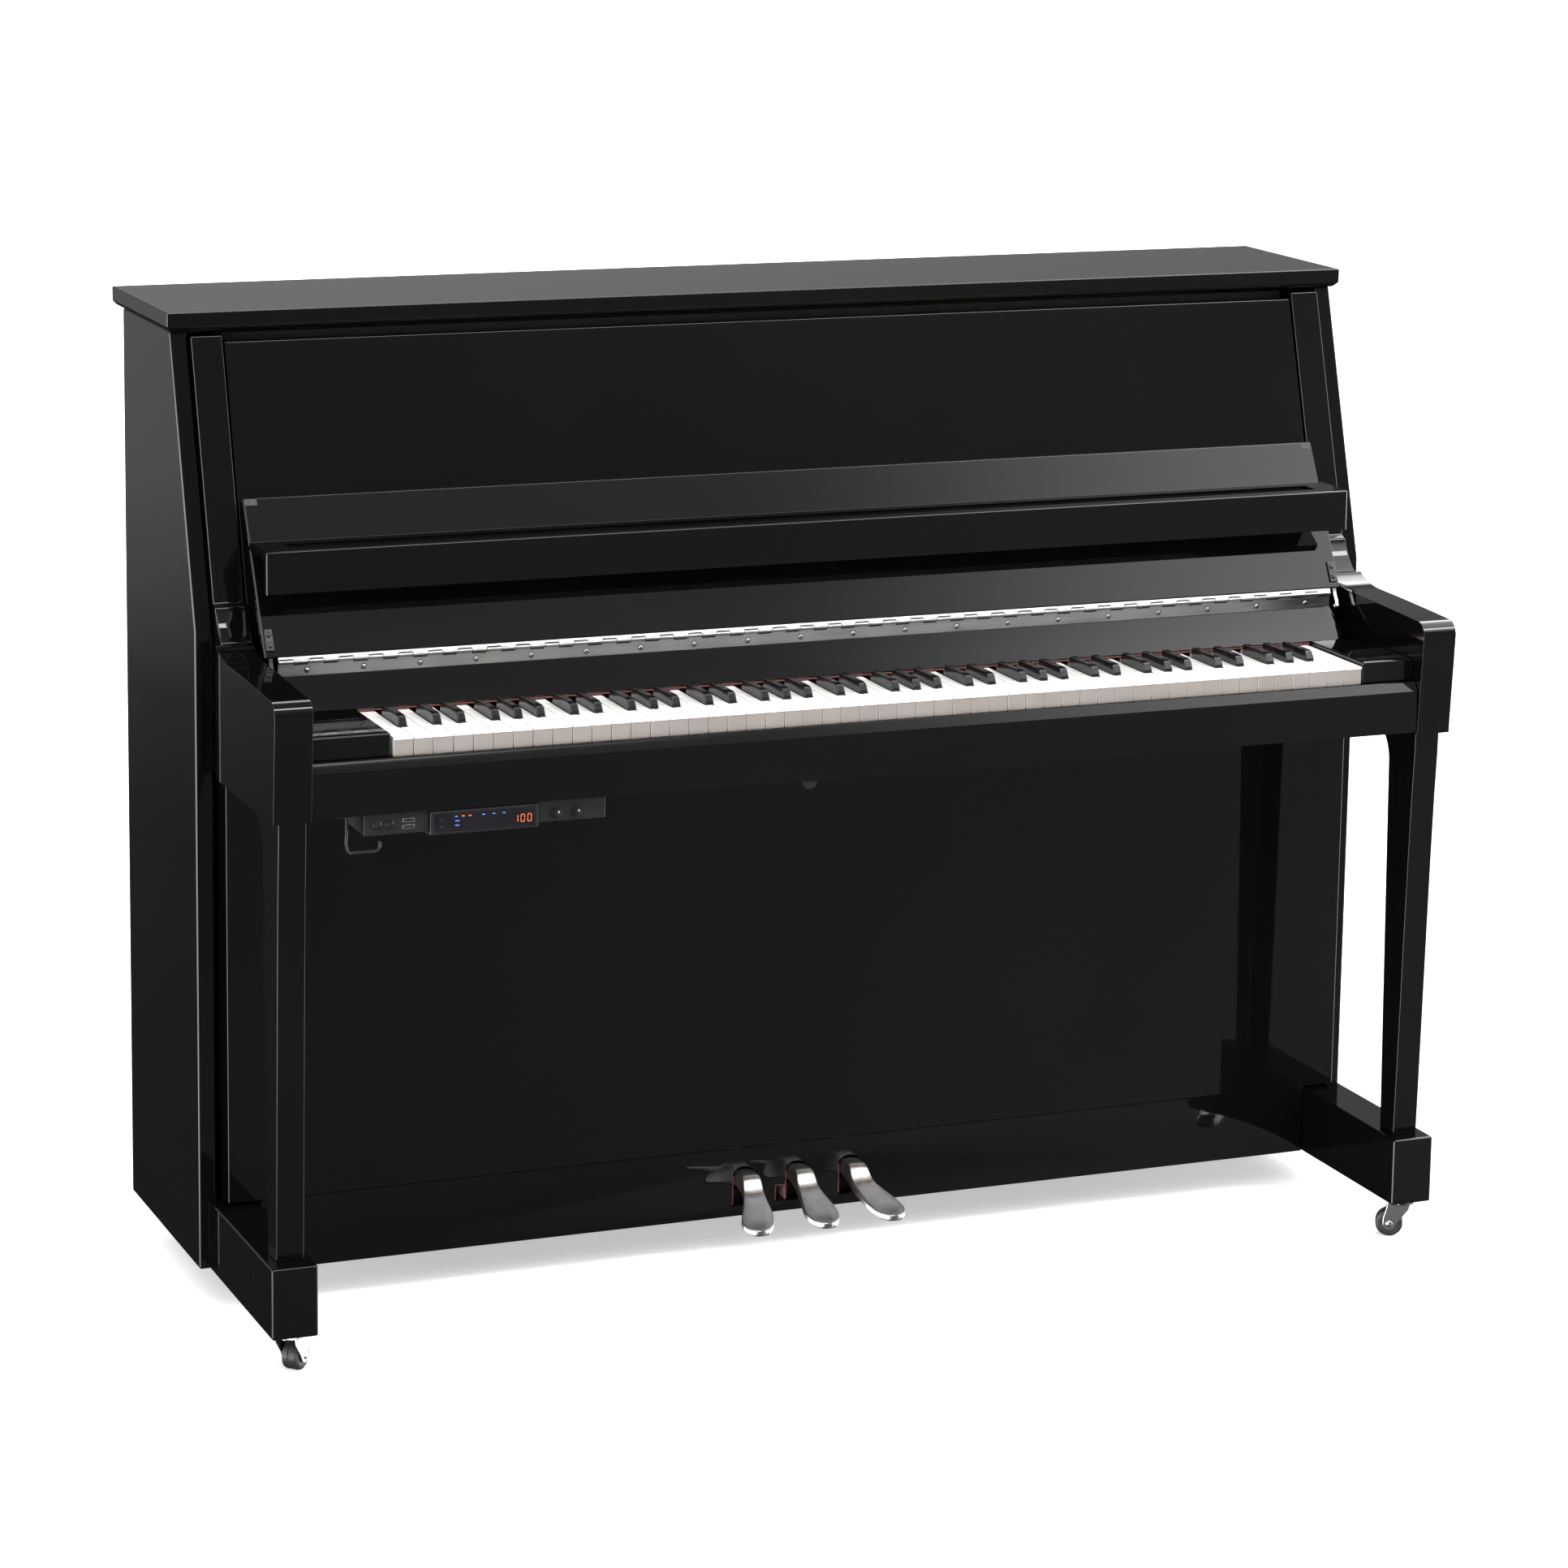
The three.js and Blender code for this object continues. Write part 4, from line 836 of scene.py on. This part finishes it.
HOOK_PATH = ((-648, 643), (-648, 622), (-648, 606), (-645, 600.5), (-638, 600), (-622, 600), (-613, 600.5),
             (-609.6, 604), (-609.6, 611))
hook = wire("hanger_wire", [(x, -558, z) for x, z in HOOK_PATH], 1.9, "dark_metal", "case")
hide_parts("headphone_hanger")
build("hanger_plate", [brick((-664, -572, 643.8), (-636, -540, 646.6), "dark_metal")], "case", bevel=0.8,
      slot="chrome")

# ---------------------------------------------------------------- back and inside
lo, hi = mm_box("back_frame")
frame_parts = [brick((lo[0], lo[1], 1010), hi, "rail_wood"), brick(lo, (hi[0], hi[1], 170), "rail_wood")]
for x in (-660, -330, 0, 330, 660):
    frame_parts.append(brick((x - 30, lo[1] + 0.3, 168), (x + 30, hi[1] - 1, 1012), "post"))
piece = build("posts_and_sill", frame_parts, "case", bevel=2.5, slot="frame_wood")
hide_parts("back_frame")
lo, hi = mm_box("soundboard")
board = [brick(lo, hi, "spruce")]
RIBS, RIB_PITCH, RIB_LEAN, RIB_FOOT, RIB_HEAD, RIB_LIMIT, RIB_HALF = 9, 140, 190, 190, 930, 700, 7
for k in range(RIBS):
    cx = (k - (RIBS - 1) / 2) * RIB_PITCH
    slope = (RIB_HEAD - RIB_FOOT) / (2 * RIB_LEAN)
    x0, x1 = max(cx - RIB_LEAN, -RIB_LIMIT), min(cx + RIB_LEAN, RIB_LIMIT)
    z0 = RIB_FOOT + (x0 - cx + RIB_LEAN) * slope
    z1 = RIB_HEAD - (cx + RIB_LEAN - x1) * slope
    rib = [(x0 - RIB_HALF, z0 + RIB_HALF), (x0 + RIB_HALF, z0 - RIB_HALF),
           (x1 + RIB_HALF, z1 - RIB_HALF), (x1 - RIB_HALF, z1 + RIB_HALF)]
    board.append(prism_y(rib, hi[1] - 0.2, hi[1] + 2.6, "spruce"))
piece = build("soundboard_and_ribs", board, "case", bevel=0.8, slot="spruce")
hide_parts("soundboard")
piece = build("floor_board", [brick(*mm_box("bottom_board"), "dark_stain")], "case", bevel=1.5,
              slot="frame_wood")
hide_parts("bottom_board")

lo, hi = mm_box("iron_plate")
STRUTS = (-700, -430, -150, 150, 430, 700)
STRUT_HALF, WINDOW_FOOT, WINDOW_TOP, WINDOW_ROUND = 18, 270, 920, 26
windows = []
for a, b in zip(STRUTS, STRUTS[1:]):
    r = WINDOW_ROUND
    x0, x1 = a + STRUT_HALF + r, b - STRUT_HALF - r
    z0, z1 = WINDOW_FOOT + r, WINDOW_TOP - r
    corners = ((x1, z0, -90), (x1, z1, 0), (x0, z1, 90), (x0, z0, 180))
    windows.append([point for x, z, start in corners for point in arc(x, z, r, start, start + 90, 5)])
outer = [(lo[0], lo[2]), (hi[0], lo[2]), (hi[0], hi[2]), (lo[0], hi[2])]
piece = plate_with_holes("plate_casting", [outer, *windows], "xz", lo[1], hi[1], "bronze", "case", bevel=3)
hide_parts("iron_plate")

# One string to each of the lowest notes and two to the others; the low ones are thick and copper wound.
LAST = KEY_COUNT - 1
SINGLE_STRINGS, WOUND_NOTES, STRING_REACH, STRING_TOP = 10, 28, 652, 1070
plain, wound, pins = [], [], []
for k in range(KEY_COUNT):
    x = -STRING_REACH + k * (2 * STRING_REACH / LAST)
    low = 190 + 260 * (k / LAST) ** 1.3
    count = 1 if k < SINGLE_STRINGS else 2
    group, metal, r = (wound, "copper", 1.1) if k < WOUND_NOTES else (plain, "steel", 0.45)
    for m in range(count):
        at = x + (m - (count - 1) / 2) * 4.6
        group.append(turned([(0, r), (STRING_TOP - low, r)], (at, -100, low), "z", metal, 6))
        pins.append(turned([(0, 3.2), (-20, 3.2), (-21, 2.6)], (at, -92, 1078 + 14 * ((k + m) % 3)), "y",
                           "steel", 8))
piece = build("string_set", plain + wound, "case", slot="string_steel", angle=60)
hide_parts("strings")
build("tuning_pins", pins, "case", slot="string_steel", angle=50)

lo, hi = mm_box("action_frame")
rails = [brick((-672, -238, 880), (672, -224, 905), "steel"),
         brick((-672, -224, 880), (672, -212, 886), "steel")]
for x in (-667, 667):
    rails.append(brick((x - 5, -217, 685.5), (x + 5, -195, 1075), "steel"))
piece = build("action_rails", rails, "case", bevel=1.5, slot="string_steel")
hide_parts("action_frame")

HAMMER_REACH, DAMPERS = 648, 68
hammers, dampers = [], []
for k in range(KEY_COUNT):
    x = -HAMMER_REACH + k * (2 * HAMMER_REACH / LAST)
    head = [(-196, 1004), (-170, 1001), *arc(-158, 1010.5, 8, -90, 90, 8), (-170, 1020), (-196, 1017)]
    hammers.append(prism_x([(y, min(max(z, 1000), 1018)) for y, z in head], x - 4.6, x + 4.6, "felt"))
    hammers.append(brick((x - 2.4, -213, 962), (x + 2.4, -202, 1012), "stick_wood"))
    if k < DAMPERS:
        dampers.append(brick((x - 4.8, -111.5, 908), (x + 4.8, -102, 942), "felt"))
hammers.append(brick((-655, -215, 960), (655, -201, 972), "rail_wood"))
piece = build("hammer_row", hammers, "hammer_rail", bevel=0.5, segments=1, slot="felt")
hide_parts("hammer_rail")
dampers.append(brick((-655, -112, 905), (655, -109, 914), "dark_metal"))
piece = build("damper_row", dampers, "damper_rail", bevel=0.8, segments=1, slot="felt")
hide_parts("damper_rail")
muffler = [brick((-655, -122, 1070), (655, -116, 1085), "rail_wood"),
           brick((-652, -119.5, 1046), (652, -116.5, 1072), "felt")]
piece = build("muffler_cloth", muffler, "muffler_rail", bevel=0.6, slot="felt")
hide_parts("muffler_rail")

# ---------------------------------------------------------------- floor
# The floor glows faintly, which keeps the shadow on it light.
bm = bmesh.new()
bmesh.ops.create_grid(bm, x_segments=2, y_segments=2, size=60)
mesh = bpy.data.meshes.new("floor")
bm.to_mesh(mesh)
bm.free()
pale = surface("pale_floor", (0.8, 0.8, 0.8), (0.82, 0.82, 0.82), (0.6, 0.7), scale=0.5, specular=0.1)
shader = pale.node_tree.nodes["Principled BSDF"]
shader.inputs["Emission Color"].default_value = (1, 1, 1, 1)
shader.inputs["Emission Strength"].default_value = 0.45
mesh.materials.append(pale)
floor = bpy.data.objects.new("floor", mesh)
bpy.context.scene.collection.objects.link(floor)
floor.visible_glossy = False

# ---------------------------------------------------------------- light
world = bpy.data.worlds.new("studio")
bpy.context.scene.world = world
world.use_nodes = True
nt = world.node_tree
sky = nt.nodes["Background"]
directions = nt.nodes.new("ShaderNodeTexCoord")
split = nt.nodes.new("ShaderNodeSeparateXYZ")
nt.links.new(directions.outputs["Generated"], split.inputs[0])
X, Y, Z = split.outputs["X"], split.outputs["Y"], split.outputs["Z"]


def level(output, f0, f1, t0=0.0, t1=1.0, kind="SMOOTHSTEP"):
    """t0 where output is f0, t1 where it is f1, and a soft change between."""
    r = nt.nodes.new("ShaderNodeMapRange")
    r.interpolation_type = kind
    for key, value in (("From Min", f0), ("From Max", f1), ("To Min", t0), ("To Max", t1)):
        r.inputs[key].default_value = value
    nt.links.new(output, r.inputs["Value"])
    return r.outputs["Result"]


def combine(operation, a, b):
    m = nt.nodes.new("ShaderNodeMath")
    m.operation = operation
    for socket, value in zip(m.inputs, (a, b)):
        if isinstance(value, float):
            socket.default_value = value
        else:
            nt.links.new(value, socket)
    return m.outputs[0]


def profile(stops):
    """Brightness against the rise of a direction, from straight down (-1) to straight up (1)."""
    r = nt.nodes.new("ShaderNodeValToRGB")
    while len(r.color_ramp.elements) > 1:
        r.color_ramp.elements.remove(r.color_ramp.elements[-1])
    for k, (z, value) in enumerate(stops):
        e = r.color_ramp.elements[0] if k == 0 else r.color_ramp.elements.new((z + 1) / 2)
        e.position = (z + 1) / 2
        e.color = (value, value, value, 1)
    nt.links.new(level(Z, -1.0, 1.0, kind="LINEAR"), r.inputs["Fac"])
    return r.outputs["Color"]


# Behind the piano a wall that is light at the height of the lid; in front a dim room that is a little
# lighter on the right; one broad soft box high on the right, and strips at the left, at the right,
# overhead and high behind.
behind = profile(((-1, 0.02), (-0.35, 0.025), (-0.28, 0.033), (-0.235, 0.045), (-0.21, 0.08),
                  (-0.185, 0.2), (-0.165, 0.27), (-0.13, 0.3), (-0.05, 0.3), (0.08, 0.34), (0.13, 0.32),
                  (0.3, 0.3), (0.6, 0.3), (0.85, 0.42), (1, 0.45)))
ahead = profile(((-1, 0.12), (-0.35, 0.22), (-0.26, 0.25), (-0.18, 0.24), (0.0, 0.18), (0.3, 0.22),
                 (0.42, 0.27), (0.55, 0.6), (0.7, 0.7), (0.85, 0.5), (1, 0.42)))
facing = level(Y, 0.15, -0.35)
room = nt.nodes.new("ShaderNodeMix")
room.data_type = "RGBA"
nt.links.new(facing, room.inputs["Factor"])
nt.links.new(behind, room.inputs["A"])
nt.links.new(ahead, room.inputs["B"])


def lobe(strength, *bands):
    """A soft-edged light seen where every band of direction is met."""
    out = level(*bands[0])
    for band in bands[1:]:
        out = combine("MULTIPLY", out, level(*band))
    return combine("MULTIPLY", out, strength)


lights = [
    lobe(3.2, (X, 0.36, 0.5), (Z, 0.44, 0.58)),
    lobe(7.0, (X, -0.62, -0.76), (Z, -0.4, -0.28), (Z, 0.3, 0.15)),
    lobe(4.5, (X, 0.68, 0.8), (Z, -0.4, -0.28), (Z, 0.3, 0.15)),
    lobe(5.0, (Y, 0.3, 0.42), (Z, 0.46, 0.58), (X, 0.05, 0.2), (X, 0.72, 0.6)),
    lobe(17.0, (Y, -0.59, -0.55), (Y, -0.43, -0.47), (Z, 0.6, 0.7), (X, 0.05, 0.2), (X, 0.72, 0.6)),
]
glow = lights[0]
for light in lights[1:]:
    glow = combine("ADD", glow, light)
# The room in front grows lighter to the right, the wall behind a little darker.
slant = level(X, 0.24, 0.5, 0.7, 1.2)
base = nt.nodes.new("ShaderNodeMix")
base.data_type = "RGBA"
base.blend_type = "MULTIPLY"
base.inputs["Factor"].default_value = 1
nt.links.new(room.outputs["Result"], base.inputs["A"])
rear = level(Y, 0.0, 0.4)
front_part = combine("MULTIPLY", slant, combine("SUBTRACT", 1.0, rear))
rear_part = combine("MULTIPLY", level(X, 0.25, 0.5, 1.03, 0.78), rear)
nt.links.new(combine("ADD", front_part, rear_part), base.inputs["B"])
total = nt.nodes.new("ShaderNodeMix")
total.data_type = "RGBA"
total.blend_type = "ADD"
total.clamp_result = False
total.inputs["Factor"].default_value = 1
nt.links.new(base.outputs["Result"], total.inputs["A"])
nt.links.new(glow, total.inputs["B"])
nt.links.new(total.outputs["Result"], sky.inputs["Color"])

for name, energy, angle, toward in (("ceiling", 1.9, 50, (-0.2, -0.5, 0.84)),
                                    ("fill", 1.9, 160, (0.0, 0.0, 1.0))):
    sun = bpy.data.lights.new(name, "SUN")
    sun.energy = energy
    sun.angle = math.radians(angle)
    lamp = bpy.data.objects.new(name, sun)
    lamp.rotation_euler = Vector(toward).to_track_quat("Z", "Y").to_euler()
    lamp.visible_glossy = name == "ceiling"
    bpy.context.scene.collection.objects.link(lamp)

# ---------------------------------------------------------------- camera
# Seen from the left and a little from above, with a small shift that keeps the piano in the frame.
AZIMUTH, ELEVATION, ROLL = -22.247, 10.482, 0.833
camera = bpy.data.cameras.new("camera")
camera.sensor_width = 36
camera.lens = 109.398
camera.shift_x = -0.00098
camera.shift_y = -0.1501
camera.clip_end = 200
eye = bpy.data.objects.new("camera", camera)
az, el, roll = math.radians(AZIMUTH), math.radians(ELEVATION), math.radians(ROLL)
back = Vector((math.sin(az) * math.cos(el), -math.cos(az) * math.cos(el), math.sin(el)))
right = (-back).cross(Vector((0, 0, 1))).normalized()
up = right.cross(-back)
c, s = math.cos(roll), math.sin(roll)
right, up = c * right + s * up, -s * right + c * up
eye.matrix_world = Matrix.Translation(P(-2150.7, -5509.3, 1905.2)) @ Matrix(
    ((right.x, up.x, back.x, 0), (right.y, up.y, back.y, 0), (right.z, up.z, back.z, 0), (0, 0, 0, 1))
)
bpy.context.scene.collection.objects.link(eye)
bpy.context.scene.camera = eye
bpy.context.scene.view_settings.view_transform = "Standard"
